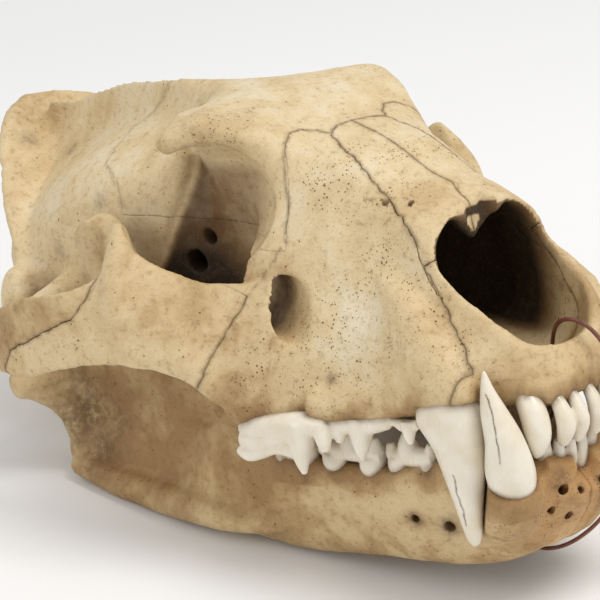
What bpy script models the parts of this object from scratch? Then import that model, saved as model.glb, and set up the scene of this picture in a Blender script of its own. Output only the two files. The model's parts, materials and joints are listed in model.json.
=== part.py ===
"""A big cat's skull with its lower jaw, life size, resting on the jaw's lower border.

The forms are placed in the skull's own frame, in millimetres: x to the animal's left, y back from
the incisors, z up with the palate level. seat() tips the finished bones back to their resting pose
and turns millimetres into metres.
"""

import math

import bmesh
import bpy
import numpy as np
from mathutils import Matrix, Vector

MM = 0.001
NOSE_UP = math.radians(8.5)
PIVOT = Vector((0.0, 150.0, 60.0))
CENTRE_Y = 179.90
FLOOR_Z = 11.8

VOXEL = 2.0
RIGHT = -1
LEFT = 1
SIDES = {"right": RIGHT, "left": LEFT}
GAP = 0.35
WIRE_RADIUS = 0.8
CRANIUM_FACES = 5200
JAW_FACES = 1000
TOOTH_VOXEL = 0.9
TEETH_FACES = 540

BONE = (0.74, 0.66, 0.50, 1.0)
ENAMEL = (0.90, 0.87, 0.80, 1.0)
WIRE = (0.22, 0.09, 0.06, 1.0)


def clear_scene():
    for obj in list(bpy.data.objects):
        bpy.data.objects.remove(obj)


def smooth_row(rows, at):
    """The values of a smooth line through the rows (each a place, then its values) at one place."""
    places = rows[:, 0]
    at = min(max(at, places[0]), places[-1])
    i = int(np.clip(np.searchsorted(places, at) - 1, 0, len(places) - 2))
    step = places[i + 1] - places[i]
    t = (at - places[i]) / step

    def slope(k):
        low, high = max(k - 1, 0), min(k + 1, len(places) - 1)
        return (rows[high, 1:] - rows[low, 1:]) / (places[high] - places[low]) * step

    return (
        rows[i, 1:] * (2 * t**3 - 3 * t**2 + 1)
        + slope(i) * (t**3 - 2 * t**2 + t)
        + rows[i + 1, 1:] * (3 * t**2 - 2 * t**3)
        + slope(i + 1) * (t**3 - t**2)
    )


def smooth_ring(corners, count):
    """Evenly counted points on the rounded closed line through a ring of corners."""
    corners = np.array(corners, float)
    n = len(corners)
    out = []
    for k in range(count):
        at = k / count * n
        i, t = int(at), at - int(at)
        a, b, c, d = (corners[(i + j) % n] for j in (-1, 0, 1, 2))
        out.append(
            b * (2 * t**3 - 3 * t**2 + 1)
            + (c - a) / 2 * (t**3 - 2 * t**2 + t)
            + c * (3 * t**2 - 2 * t**3)
            + (d - b) / 2 * (t**3 - t**2)
        )
    return out


def lofted(rings):
    """A closed body through rings of points: a grid whose seam is welded and whose ends are closed."""
    count = len(rings[0])
    bm = bmesh.new()
    bmesh.ops.create_grid(bm, x_segments=count, y_segments=len(rings) - 1, size=1.0)
    for vert in bm.verts:
        u = round((vert.co.x + 1) / 2 * count) % count
        v = round((vert.co.y + 1) / 2 * (len(rings) - 1))
        vert.co = rings[v][u]
    bmesh.ops.remove_doubles(bm, verts=bm.verts, dist=1e-4)
    bmesh.ops.holes_fill(bm, edges=bm.edges, sides=0)
    bmesh.ops.recalc_face_normals(bm, faces=bm.faces)
    return bm


def skin(sections, around=40, step=4.0):
    """A two-sided body along y. Each section is a y and its half outline, (x, z) from the lowest
    middle point round to the highest."""
    rows = np.array([[y] + [n for p in half for n in p] for y, half in sections], float)
    places = np.linspace(rows[0, 0], rows[-1, 0], int((rows[-1, 0] - rows[0, 0]) / step) + 2)
    rings = []
    for y in places:
        half = smooth_row(rows, y).reshape(-1, 2)
        whole = [tuple(p) for p in half] + [(-x, z) for x, z in half[-2:0:-1]]
        rings.append([(x, y, z) for x, z in smooth_ring(whole, around)])
    return lofted(rings)


def web(rows, side=1, around=20, steps=4, roundness=0.7):
    """A plate between two edges. Each row holds a point of one edge, a point of the other, and the
    half thickness at each."""
    table = np.array([[i, *a, *b, ta, tb] for i, (a, b, ta, tb) in enumerate(rows)], float)
    last = len(rows) - 1
    rings = []
    for k in range(steps * last + 1):
        s = k / steps
        row = smooth_row(table, s)
        ahead, behind = smooth_row(table, min(s + 0.1, last)), smooth_row(table, max(s - 0.1, 0))
        a, b = row[:3], row[3:6]
        run = (ahead[:3] + ahead[3:6]) - (behind[:3] + behind[3:6])
        normal = np.cross(b - a, run)
        normal /= np.linalg.norm(normal)
        ring = []
        for j in range(around):
            angle = 2 * math.pi * j / around
            w = (1 - math.cos(angle)) / 2
            lift = math.copysign(abs(math.sin(angle)) ** roundness, math.sin(angle))
            p = a + (b - a) * w + normal * lift * (row[6] + (row[7] - row[6]) * w)
            ring.append((p[0] * side, p[1], p[2]))
        rings.append(ring)
    return lofted(rings)


def rod(points, radii, side=1, around=14, steps=5):
    """A round rod of changing radius through a few points."""
    table = np.array([[i, *p, r] for i, (p, r) in enumerate(zip(points, radii))], float)
    last = len(points) - 1
    whole_run = (Vector(points[-1]) - Vector(points[0])).normalized()
    reference = Vector((1, 0, 0)) if abs(whole_run.z) > 0.7 else Vector((0, 0, 1))
    rings = []
    for k in range(steps * last + 1):
        s = k / steps
        row = smooth_row(table, s)
        run = Vector(smooth_row(table, min(s + 0.1, last))[:3] - smooth_row(table, max(s - 0.1, 0))[:3])
        run.normalize()
        across = run.cross(reference).normalized()
        up = across.cross(run)
        ring = []
        for j in range(around):
            angle = 2 * math.pi * j / around
            p = Vector(row[:3]) + (across * math.cos(angle) + up * math.sin(angle)) * row[3]
            ring.append((p.x * side, p.y, p.z))
        rings.append(ring)
    return lofted(rings)


def egg(centre, radii, side=1, turn=(0, 0, 0), segments=24):
    """An ellipsoid; turn is in degrees about x, y and z."""
    bm = bmesh.new()
    bmesh.ops.create_uvsphere(bm, u_segments=segments, v_segments=segments // 2, radius=1.0)
    spin = Matrix.Identity(4)
    for angle, axis in zip(turn, "XYZ"):
        spin = Matrix.Rotation(math.radians(angle), 4, axis) @ spin
    place = Matrix.Translation(centre) @ spin @ Matrix.Diagonal((*radii, 1.0))
    if side < 0:
        place = Matrix.Diagonal((-1, 1, 1, 1)) @ place
    bmesh.ops.transform(bm, matrix=place, verts=bm.verts)
    bmesh.ops.recalc_face_normals(bm, faces=bm.faces)
    return bm


def plate(outline, thickness, place, side, rounding=2.0):
    """A flat plate cut to an outline of (y, z) points, laid in space by place(y, z, across)."""
    bm = bmesh.new()
    ring = [bm.verts.new((0, y, z)) for y, z in outline]
    face = bm.faces.new(ring)
    grown = bmesh.ops.extrude_face_region(bm, geom=[face])
    far = [g for g in grown["geom"] if isinstance(g, bmesh.types.BMVert)]
    for vert in far:
        vert.co.x = 1.0
    for vert in bm.verts:
        across = (vert.co.x - 0.5) * thickness
        p = place(vert.co.y, vert.co.z, across)
        vert.co = Vector((p[0] * side, p[1], p[2]))
    bmesh.ops.recalc_face_normals(bm, faces=bm.faces)
    return bm


def to_object(name, bodies):
    """One object that holds several closed bodies."""
    mesh = bpy.data.meshes.new(name)
    whole = bmesh.new()
    for bm in bodies:
        part = bpy.data.meshes.new("part")
        bm.to_mesh(part)
        bm.free()
        whole.from_mesh(part)
        bpy.data.meshes.remove(part)
    whole.to_mesh(mesh)
    whole.free()
    obj = bpy.data.objects.new(name, mesh)
    bpy.context.scene.collection.objects.link(obj)
    return obj


def bake(obj):
    """Makes what an object's modifiers give its own mesh."""
    graph = bpy.context.evaluated_depsgraph_get()
    mesh = bpy.data.meshes.new_from_object(obj.evaluated_get(graph))
    old = obj.data
    obj.modifiers.clear()
    obj.data = mesh
    bpy.data.meshes.remove(old)
    return obj


def fuse(obj, voxel, smoothing=4):
    """Joins an object's overlapping bodies into one skin and softens it."""
    remesh = obj.modifiers.new("fuse", "REMESH")
    remesh.mode = "VOXEL"
    remesh.voxel_size = voxel
    soften = obj.modifiers.new("soften", "SMOOTH")
    soften.factor = 0.5
    soften.iterations = smoothing
    return bake(obj)


def cut(obj, cutter, operation="DIFFERENCE"):
    step = obj.modifiers.new("cut", "BOOLEAN")
    step.operation = operation
    step.solver = "MANIFOLD"
    step.object = cutter
    bake(obj)
    bpy.data.objects.remove(cutter)
    return obj


# The skull without its lower jaw

FACE = [
    (3, [(0, 79), (6, 78), (13, 79), (15, 82), (14, 85), (11, 87), (8, 88), (4, 88), (0, 88)]),
    (8, [(0, 79), (10, 77), (18, 79), (21, 84), (21, 90), (19, 95), (16, 99), (8, 100), (0, 100)]),
    (14, [(0, 79), (14, 77), (24, 80), (27, 86), (27, 93), (25, 100), (22, 106), (10, 109), (0, 109)]),
    (22, [(0, 78), (22, 78), (33, 81), (36, 88), (34, 97), (29, 105), (25, 113), (16, 118), (0, 119)]),
    (32, [(0, 78), (28, 78), (42, 80), (44, 88), (40, 98), (32, 109), (27, 118), (23, 128), (0, 134)]),
    (42, [(0, 77), (30, 78), (45, 79), (47, 89), (43, 100), (34, 111), (28, 123), (25, 134), (0, 145)]),
    (54, [(0, 76), (32, 76), (45, 77), (47, 88), (44, 100), (37, 112), (30, 125), (24, 141), (0, 149)]),
    (72, [(0, 74), (36, 71), (50, 72), (50, 85), (46, 100), (40, 113), (33, 129), (22, 148), (0, 154)]),
    (92, [(0, 74), (44, 69), (62, 71), (60, 83), (55, 98), (48, 114), (38, 135), (22, 159), (0, 163)]),
    (108, [(0, 73), (48, 66), (70, 68), (70, 82), (65, 97), (54, 117), (40, 142), (26, 163), (0, 168)]),
    (122, [(0, 73), (50, 66), (72, 67), (74, 82), (70, 98), (56, 118), (40, 150), (34, 169), (0, 171)]),
    (134, [(0, 74), (40, 70), (60, 72), (62, 84), (60, 98), (46, 124), (36, 154), (41, 174), (0, 175)]),
    (146, [(0, 74), (24, 70), (34, 76), (36, 90), (34, 104), (28, 126), (32, 156), (45, 177), (0, 178)]),
]
CASE = [
    (140, [(0, 88), (16, 88), (24, 92), (27, 105), (27, 120), (28, 136), (34, 155), (44, 175), (0, 177)]),
    (156, [(0, 84), (14, 85), (22, 90), (25, 105), (26, 120), (28, 137), (36, 158), (48, 178), (0, 180)]),
    (168, [(0, 82), (14, 84), (22, 90), (25, 105), (26, 120), (29, 137), (34, 156), (43, 176), (0, 181)]),
    (182, [(0, 80), (14, 82), (24, 90), (28, 105), (29, 120), (30, 136), (29, 152), (26, 173), (0, 181)]),
    (198, [(0, 78), (14, 80), (28, 88), (33, 102), (34, 118), (34, 134), (30, 150), (16, 168), (0, 180)]),
    (220, [(0, 77), (16, 79), (33, 86), (41, 100), (43, 116), (42, 132), (34, 148), (10, 164), (0, 179)]),
    (245, [(0, 77), (18, 78), (38, 85), (47, 99), (50, 114), (48, 130), (37, 146), (7, 161), (0, 177)]),
    (270, [(0, 77), (20, 78), (42, 84), (50, 98), (52, 112), (49, 127), (36, 142), (6, 156), (0, 174)]),
    (295, [(0, 77), (20, 78), (44, 84), (50, 96), (50, 108), (45, 121), (31, 134), (6, 150), (0, 168)]),
    (318, [(0, 80), (18, 80), (38, 86), (44, 97), (42, 108), (36, 119), (24, 130), (7, 146), (0, 162)]),
    (336, [(0, 84), (14, 85), (26, 90), (30, 100), (30, 110), (26, 120), (18, 130), (8, 145), (0, 161)]),
]
NAPE = [
    # outer edge, inner edge, half thickness of each
    ((0, 352, 161), (0, 322, 128), 4.5, 9),
    ((12, 346, 160), (8, 318, 126), 3.5, 9),
    ((24, 336, 155), (16, 312, 122), 3, 8),
    ((37, 324, 143), (24, 304, 116), 3, 8),
    ((49, 308, 130), (32, 294, 108), 3, 8),
    ((56, 294, 117), (38, 286, 100), 3.5, 8),
    ((62, 284, 104), (42, 280, 94), 4, 8),
    ((70, 278, 94), (44, 278, 88), 4, 8),
]
ARCH = [
    # top edge, lower edge, half thickness of each
    ((48, 106, 122), (60, 106, 74), 8, 8),
    ((58, 124, 120), (76, 121, 76), 6, 8),
    ((66, 138, 121), (84, 128, 86), 4, 7),
    ((73, 151, 128), (90, 140, 91), 3.5, 6.5),
    ((81, 160, 134), (96, 153, 93), 3, 5.5),
    ((95, 170, 125), (101, 170, 92), 3, 5),
    ((104, 182, 121), (104, 185, 89), 3, 5),
    ((107, 200, 118), (107, 203, 84), 3, 5),
    ((107, 216, 113), (107, 217, 82), 3.5, 6),
    ((104, 230, 107), (104, 231, 81), 4, 7),
    ((95, 241, 103), (95, 243, 80), 5, 8),
    ((82, 247, 101), (80, 250, 79), 6, 9),
    ((66, 251, 103), (64, 254, 79), 7, 10),
    ((44, 256, 108), (44, 258, 80), 9, 10),
]


CANINE_ROOT = [
    # front edge, rear edge, half thickness of each
    ((36.5, 16.5, 84.5), (39.5, 48, 80), 10, 11),
    ((35.5, 19, 91), (39.5, 50, 88), 10, 11.5),
    ((34, 29, 101), (37, 54, 98), 9.5, 11),
    ((31, 45, 112), (33, 62, 108), 7, 9),
]


def cranium_bodies():
    bodies = [skin(FACE), skin(CASE)]
    for side in SIDES.values():
        bodies.append(web(NAPE, side))
        bodies.append(web(ARCH, side))
        # the brow's point over the orbit, and the cheek bone's point below it
        bodies.append(web([
            ((36, 138, 172), (30, 180, 176), 6, 3),
            ((46, 147, 172), (40, 177, 175), 6, 3),
            ((52, 156, 170), (48, 172, 171), 5, 3.5),
            ((56, 165, 167), (55, 171, 167), 3.8, 3.2),
        ], side))
        bodies.append(rod([(95, 158, 108), (90, 160, 122), (83.5, 163, 136), (79.5, 166, 144)],
                          [4, 6.4, 5.2, 3.6], side))
        # root of the upper canine, raised on the side of the snout, and the bone that holds the teeth
        bodies.append(web(CANINE_ROOT, side))
        bodies.append(rod([(36, 41, 98), (33, 55, 112), (29, 72, 124)], [12, 9, 5], side))
        bodies.append(rod([(39.5, 45, 82), (45, 57, 80), (51, 72, 78), (59, 88, 77)], [6.5, 6.5, 6.5, 6],
                          side))
        bodies.append(rod([(4, 9, 85), (11, 10, 85.5), (19, 14, 86)], [6, 6.5, 8], side))
        # lip of the nape, and the ridge behind the orbit
        bodies.append(rod([(0, 351, 159), (12, 345, 158), (24, 335, 154), (37, 323, 142)],
                          [4.6, 4.2, 3.6, 2.6], side))
        bodies.append(rod([(33, 182, 162), (32.5, 194, 142), (35, 206, 121)], [4.2, 3.8, 3], side))
        # ear region and neck joint
        bodies.append(egg((36, 282, 80), (16, 22, 15), side, turn=(0, 0, 12)))
        bodies.append(egg((62, 283, 90), (9, 10, 17), side))
        bodies.append(rod([(50, 296, 92), (48, 303, 80), (45, 309, 67)], [9, 7, 4], side))
        bodies.append(egg((20, 330, 98), (9, 13, 16), side, turn=(-20, 0, 15)))
        # flange behind the jaw joint
        bodies.append(web([((60, 258, 84), (60, 259, 66), 5, 2.5), ((92, 254, 84), (90, 256, 70), 5, 2.5)],
                          side))
        # wing behind the palate
        bodies.append(web([
            ((20, 146, 94), (26, 146, 72), 3, 3),
            ((20, 170, 92), (22, 172, 68), 3, 2.5),
            ((20, 200, 90), (20, 206, 66), 3, 2.5),
            ((22, 225, 90), (21, 224, 68), 3, 2),
        ], side))
    bodies.append(rod([(0, 205, 88), (0, 260, 86), (0, 300, 86), (0, 325, 90)], [14, 16, 18, 14]))
    return bodies


# Canines: middle line, radii front to back, and how thick they are next to that

UPPER_CANINE = (
    [(36, 46, 98), (36.8, 38.5, 87), (37.3, 34, 78.4), (37.6, 30.6, 68.4), (37.6, 29.8, 62),
     (37.4, 29.5, 54.7),
     (36.8, 29.8, 41.2), (35.8, 30.7, 29.3), (35.4, 31.3, 25.5)],
    [5.0, 10.0, 14.3, 11.8, 10.3, 8.8, 5.8, 3.3, 0.9], 0.78)
LOWER_CANINE = (
    [(27, 23, 37), (29.4, 16.0, 46), (30.7, 12.0, 53), (31.7, 10.8, 59.3), (33.2, 10.2, 69.5),
     (34.2, 12.9, 80.7),
     (34.5, 14.4, 88), (34.7, 14.9, 95.9)],
    [4.0, 7.8, 9.4, 9.6, 7.7, 5.2, 3.0, 0.6], 0.88)


def canine(shape, side, extra=0.0, around=14, steps=2):
    """A canine, longer front to back than it is thick; extra makes its socket."""
    points, radii, flatness = shape
    root, neck = Vector(points[0]), Vector(points[1])
    deeper = root + (root - neck).normalized() * 2 * extra
    bm = rod([tuple(deeper), *points[1:]], [r + extra for r in radii], side, around, steps)
    levels = sorted((p[2], p[0]) for p in points)
    for vert in bm.verts:
        middle = side * np.interp(vert.co.z, *zip(*levels))
        vert.co.x = middle + (vert.co.x - middle) * flatness
    return bm


NOSE_HOLE = [
    (6, [(0, 99), (6, 100), (10, 102), (12, 106), (12, 112), (11, 118), (9, 124), (6, 128), (3, 129),
         (0, 128)]),
    (14, [(0, 94), (9, 95), (15, 99), (18, 105), (19, 112), (18, 120), (16, 128), (11, 133), (5, 133),
          (0, 130)]),
    (22, [(0, 89), (12, 90), (19, 97), (22, 105), (22.5, 113), (22, 122), (19, 131), (13, 136), (6, 134),
          (0, 131)]),
    (32, [(0, 86), (15, 88), (22, 96), (24, 106), (24.5, 116), (23.5, 126), (20, 135), (13, 139), (6, 135),
          (0, 130)]),
    (44, [(0, 84), (17, 87), (25, 96), (27, 106), (26, 117), (24, 128), (20, 137), (13, 141), (5, 135),
          (0, 130)]),
    (54, [(0, 84), (18, 87), (27, 96), (29, 107), (27, 119), (24, 130), (19, 138), (12, 142), (5, 135),
          (0, 130)]),
    (66, [(0, 84), (18, 87), (28, 96), (31, 107), (29, 119), (25, 131), (19, 140), (12, 144), (5, 140),
          (0, 136)]),
    (85, [(0, 84), (18, 87), (29, 96), (33, 107), (31, 120), (27, 133), (20, 143), (12, 148), (5, 149),
          (0, 148)]),
    (110, [(0, 86), (12, 91), (20, 98), (23, 110), (22, 124), (19, 138), (13, 148), (8, 153), (4, 155),
           (0, 156)]),
    (126, [(0, 98), (6, 102), (10, 108), (12, 116), (12, 126), (10, 136), (8, 145), (6, 149), (3, 152),
           (0, 153)]),
]
NOSE_RIM = [
    # the opening's rim seen from the side, all in front of it being cut away
    (-30, 90), (3, 96.5), (9, 100), (11, 101.5), (15, 106.5), (22.5, 113), (35.5, 120.5), (43, 127),
    (46, 134),
    (46.5, 175), (-30, 175),
]


def cranium_hollows():
    hollows = [
        skin(NOSE_HOLE),
        rod([(0, 362, 108), (0, 330, 105), (0, 300, 108), (0, 270, 112)], [14, 13, 15, 16]),
        egg((0, 84, 62), (36, 58, 12)),
        egg((0, 195, 62), (15, 42, 20)),
        # rim of the nose opening, and the scallops beside the nose bones' front tips
        plate(NOSE_RIM, 100.0, lambda y, z, across: (across, y, z), 1),
        egg((0, 39, 140), (8, 14, 17)),
        egg((0, 49, 156.5), (9, 14, 12)),
    ]
    for side in SIDES.values():
        hollows.append(egg((58, 143, 147), (30, 31, 25), side, turn=(0, 0, -20)))
        hollows.append(egg((14, 38, 134), (10, 14, 8), side))
        # the two large nerve holes deep in the orbit
        hollows.append(rod([(42, 179, 124), (29, 182, 123), (12, 186, 120)], [3.8, 3.6, 3.0], side))
        hollows.append(rod([(44, 188, 113), (30, 191, 112), (14, 196, 110)], [5.2, 5.0, 4.2], side))
        # canal below the orbit, ear hole, and the opening behind the incisors
        hollows.append(web([
            ((58, 76, 124), (70, 76, 96), 6, 6),
            ((49, 100, 123), (59, 93, 98), 6, 6),
            ((44, 122, 124), (52, 122, 102), 7, 7),
            ((44, 138, 126), (52, 138, 106), 8, 8),
        ], side, roundness=0.95))
        hollows.append(rod([(75, 268, 92), (60, 272, 91), (50, 274, 91)], [4.5, 4, 4], side))
        hollows.append(rod([(8, 25, 62), (8, 25, 80), (8, 27, 104)], [4.5, 4.5, 4.5], side))
        # room beside the snout for the lower canine's point
        hollows.append(canine(LOWER_CANINE, side, 1.4))
    return hollows


def cranium(voxel):
    bone = fuse(to_object("cranium", cranium_bodies()), voxel, 3)
    cut(bone, fuse(to_object("hollows", cranium_hollows()), voxel, 1))
    return fuse(bone, voxel, 2)


# The lower jaw

JAW = [
    # tooth edge, lower edge, half thickness of each
    ((8, 5, 54), (6, 11, 33), 6, 6),
    ((16, 9, 55), (7, 21, 22), 8, 8),
    ((25, 17, 56), (10, 35, 14), 9, 9),
    ((29, 31, 57), (18, 48, 10), 6, 9),
    ((34, 47, 56), (27, 60, 11), 6, 9),
    ((39, 62, 52), (34, 76, 12), 7, 8.5),
    ((42, 78, 50), (39, 92, 11), 7, 8),
    ((46, 96, 50), (43, 108, 10), 7, 8),
    ((51, 114, 53), (48, 124, 10), 7, 8),
    ((54, 132, 57), (53, 142, 12), 7, 8),
    ((57, 148, 58), (58, 160, 15), 6, 7),
    ((58, 170, 56), (60, 178, 19), 4, 6),
    ((61, 195, 54), (64, 200, 21), 4, 6),
    ((65, 220, 50), (68, 226, 24), 4, 6),
    ((68, 238, 46), (71, 246, 30), 5, 5.5),
]
RAMUS = [
    (128, 44), (148, 66), (169, 92), (189, 114), (204, 127), (212, 133), (219, 135), (226, 133),
    (230, 126), (222, 112), (216, 98), (222, 86), (237, 77), (247, 70), (245, 60), (243, 50),
    (244, 42), (240, 28), (212, 24), (173, 20), (128, 18),
]
JAW_FLANGE = [
    # outer edge, inner edge, half thickness of each
    ((97, 242, 68), (72, 240, 66), 4, 5), ((90, 238, 62), (70, 236, 58), 3.5, 5),
    ((82, 237, 54), (69, 232, 50), 3.5, 5), ((76, 240, 44), (68, 230, 42), 4, 5),
    ((72, 243, 34), (68, 232, 34), 4.5, 5),
]


def ramus_place(y, z, across):
    x = 50 + (y - 128) * 0.14 - max(z - 90, 0) * 0.10
    return (x + across, y, z)


def jaw_bodies(side):
    return [
        web(JAW, side, roundness=0.55),
        plate(RAMUS, 8.0, ramus_place, side),
        web(JAW_FLANGE, side),
        rod([(55, 203, 124), (55, 211, 131), (55, 220, 132), (56, 227, 127)], [3.2, 3.8, 3.8, 3.2], side),
        rod([(55, 138, 48), (57, 150, 66), (58, 168, 90), (56, 190, 113)], [6.5, 5.5, 4.5, 3.5], side),
        rod([(40, 92, 30), (46, 114, 28), (53, 138, 26), (60, 160, 24)], [8, 9, 9, 7], side),
        rod([(60, 245, 67), (70, 243, 70), (84, 242, 70), (96, 242, 69)], [6, 7.5, 7.5, 5.5], side),
        rod([(67, 234, 44), (70, 239, 58), (76, 242, 68)], [6, 6.5, 6], side),
        rod([(30.5, 12.5, 53), (29.5, 14.5, 48), (26.5, 19, 42), (22, 30, 34), (21, 44, 28)],
            [12, 13.2, 13.2, 11, 9], side),
        rod([(4, 9, 50), (10, 10.5, 51), (17, 12, 53)], [5.5, 6, 7], side),
        rod([(4, 7, 46), (4, 14, 38), (4, 26, 28), (4, 40, 21)], [6, 9, 11, 9], side),
        rod([(53, 116, 22), (60, 134, 20.5), (66, 160, 22), (71, 200, 25), (75, 236, 31)],
            [2.5, 5, 6.5, 6.5, 6], side),
    ]


def lower_jaw(side, voxel):
    name = "mandible_right" if side == RIGHT else "mandible_left"
    bone = fuse(to_object(name, jaw_bodies(side)), voxel, 3)
    # room for the upper canine, open to the front and side where it can be seen
    room = []
    for k in range(8):
        room.append(canine(UPPER_CANINE, side, 1.2))
        bmesh.ops.translate(room[-1], verts=room[-1].verts, vec=(1.24 * k * side, -1.56 * k, 0))
    cut(bone, fuse(to_object("room", room), voxel, 1))
    cut(bone, to_object("hollow", [egg((78, 192, 62), (17, 39, 29), side, turn=(16, 0, -9))]))
    bone = fuse(bone, voxel, 2)
    block = bmesh.new()
    bmesh.ops.create_cube(block, size=400)
    bmesh.ops.translate(block, verts=block.verts, vec=((200 + GAP / 2) * side, 150, 60))
    return cut(bone, to_object("half", [block]), "INTERSECT")


# Teeth. A cheek tooth is a bar along the gum with cusps rising out of it; each entry gives the
# points of one rod and its radii.

UPPER_CHEEK = [
    # second premolar: bar, cusp
    ([(43.4, 44.5, 73), (44.6, 50, 71.5), (45.6, 56, 73)], [1.8, 2.6, 1.8]),
    ([(44.8, 48.5, 74), (45.4, 48.2, 69), (46, 47.4, 65.4)], [3.0, 2.4, 0.9]),
    # third premolar: bar, main cusp, hind cusp, heel, front cusp
    ([(45.6, 56, 74), (48, 62, 72), (51, 70, 71.5), (54, 78, 71), (56.6, 84, 71.5)],
     [2.4, 3.8, 4.6, 4.2, 2.8]),
    ([(50.4, 69.5, 73), (51.6, 69, 67), (52.8, 68.4, 61.5), (53.2, 68, 57.4)], [5.4, 4.6, 2.7, 0.9]),
    ([(54, 77.5, 72), (55.2, 77.3, 67.5), (55.8, 77, 63.6)], [4.0, 3.2, 1.4]),
    ([(56.4, 83, 72), (57, 82.6, 68), (57.4, 82.4, 65.6)], [3.0, 2.4, 1.3]),
    ([(47.2, 59, 73), (47.8, 58.4, 69.5)], [2.8, 1.4]),
    # carnassial: bar, front cusp, main cusp, cutting blade, its lower roll
    ([(59.5, 79, 71), (61.5, 86, 71), (65, 96, 70), (68, 106, 69), (70.5, 117, 67.5)],
     [3.0, 4.8, 5.2, 4.8, 3.6]),
    ([(60, 81.5, 71), (61, 80, 66), (61.6, 78.8, 61.4)], [3.8, 3.2, 1.7]),
    ([(62.4, 90.5, 71), (63.8, 90.5, 63.5), (64.8, 90, 57), (65, 89.4, 51.6)], [6.2, 5.0, 3.0, 1.0]),
    ([(65.4, 94, 68), (67.6, 101, 65), (69.8, 109, 63), (71.2, 117, 63)], [4.6, 3.9, 3.8, 3.4]),
    ([(65.6, 93, 60), (68.4, 100, 61), (70.6, 107, 58.8), (71.8, 113.5, 57.2), (72.2, 118.5, 58.6)],
     [2.6, 2.3, 2.5, 2.8, 2.4]),
]
LOWER_CHEEK = [
    # third premolar: bar, root swellings, main cusp, front cusp, hind cusp
    ([(34.6, 49, 56), (36.6, 58, 55.5), (39, 69, 55)], [3.0, 4.2, 3.0]),
    ([(33.6, 52, 48.5), (34.6, 52, 52), (35, 52, 56)], [2.4, 4.2, 3.8]),
    ([(36.6, 65.5, 46.5), (37.8, 65.5, 50.5), (38, 65, 55)], [2.6, 4.8, 4.4]),
    ([(36.8, 60.5, 56), (37.6, 60.2, 61), (38, 60, 65.4)], [4.8, 3.6, 1.2]),
    ([(34.8, 51, 56), (35, 50.2, 61.4)], [3.2, 1.4]),
    ([(39, 67.6, 56), (39.4, 68, 60.2)], [3.2, 1.5]),
    # fourth premolar
    ([(40.6, 72, 55), (44, 85, 55.5), (47.6, 100, 55)], [3.2, 4.6, 3.2]),
    ([(40.4, 77, 45.5), (41.8, 77, 49.5), (42, 77, 54)], [2.6, 5.2, 4.8]),
    ([(44.4, 94.5, 45.5), (45.8, 94.5, 49.5), (46.2, 94.5, 54)], [2.6, 5.2, 4.8]),
    ([(44, 85.5, 56), (44.8, 85.2, 62), (45.4, 84.8, 67.6)], [5.2, 4.0, 1.3]),
    ([(41.6, 75, 56), (42, 74.2, 62)], [3.8, 1.5]),
    ([(47, 96.5, 56), (47.4, 97, 61.6)], [3.8, 1.6]),
    # carnassial
    ([(48.8, 104, 53), (51, 112, 52.5), (54, 122, 53)], [3.6, 4.8, 3.4]),
    ([(49.4, 106.6, 38), (49.4, 106.6, 54), (50, 106.4, 65)], [3.4, 4.6, 1.4]),
    ([(52.6, 117.6, 38), (52.6, 117.6, 54), (53, 118.4, 65)], [3.2, 4.4, 1.4]),
]
UPPER_INCISORS = [
    ([(3.8, 13, 88), (3.9, 7, 82), (4, 3.0, 77), (4, 1.0, 70.5), (4, 3.2, 64), (4, 4.6, 61.5)],
     [1.4, 1.9, 2.5, 3.2, 2.3, 0.9]),
    ([(10.6, 15, 90), (10.9, 8.5, 83), (11, 3.8, 77.5), (11, 1.4, 70.8), (11, 3.6, 64.5), (11, 5, 62)],
     [1.6, 2.1, 2.9, 3.6, 2.6, 1.0]),
    ([(18.4, 20, 92), (19.2, 14.5, 85), (19.8, 9, 79), (20.2, 6.2, 70), (20.2, 7.2, 63.4), (20.2, 9.2, 59)],
     [2.4, 3.6, 5.0, 5.5, 3.9, 1.1]),
]
LOWER_INCISORS = [
    ([(2.6, 14, 44), (2.7, 10.5, 53), (2.8, 9, 61.5)], [1.6, 2.4, 1.6]),
    ([(7.4, 15, 44), (7.9, 11.5, 53), (8.2, 9.5, 62.5)], [1.8, 2.8, 1.8]),
    ([(13.0, 16, 45), (13.8, 12.5, 54), (14.6, 10, 64.5)], [2.0, 3.3, 2.0]),
]


def teeth(side, cheek, incisors):
    bodies = [rod(points, radii, side, around=12, steps=3) for points, radii in cheek + incisors]
    return thin(fuse(to_object("teeth", bodies), TOOTH_VOXEL, 2), TEETH_FACES)


# Parting the bones along their seams. Outlines hold for both sides.

ZYGOMATIC_SIDE = [
    (110, 132), (118, 114), (124, 103), (127, 88), (136, 77), (140, 55), (222, 55), (219, 86), (206, 94),
    (187, 106), (173, 112), (167, 119), (166, 127), (172, 152), (140, 152),
]
PREMAXILLA_SIDE = [
    (-10, 60), (24, 60), (23, 84), (20, 92), (20, 101), (30, 109), (37, 117), (38, 123), (30, 124),
    (-10, 124),
]
NASAL_TOP = [(0, 20), (34, 20), (31, 38), (27, 49), (22, 71), (18, 97), (10, 119), (0, 123)]
FRONTAL_TOP = [
    (-14, 134), (-10, 121), (0, 125), (10, 121), (14, 134), (24, 129), (34, 123), (44, 112), (67, 112),
    (67, 190), (34, 204), (0, 214), (-34, 204), (-67, 190), (-67, 112), (-44, 112), (-34, 123), (-24, 129),
]


def grown(outline, by):
    """The outline moved outward by a distance; a negative distance moves it inward."""
    n = len(outline)
    area = sum(outline[i - 1][0] * outline[i][1] - outline[i][0] * outline[i - 1][1] for i in range(n))
    turn = 1 if area > 0 else -1
    out = []
    for i in range(n):
        a, b, c = (Vector(outline[(i + k) % n]) for k in (-1, 0, 1))
        d_1, d_2 = (b - a).normalized(), (c - b).normalized()
        n_1, n_2 = (Vector((d.y, -d.x)) * turn for d in (d_1, d_2))
        out.append(tuple(b + (n_1 + n_2) * by / (1 + n_1.dot(n_2))))
    return out


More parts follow.
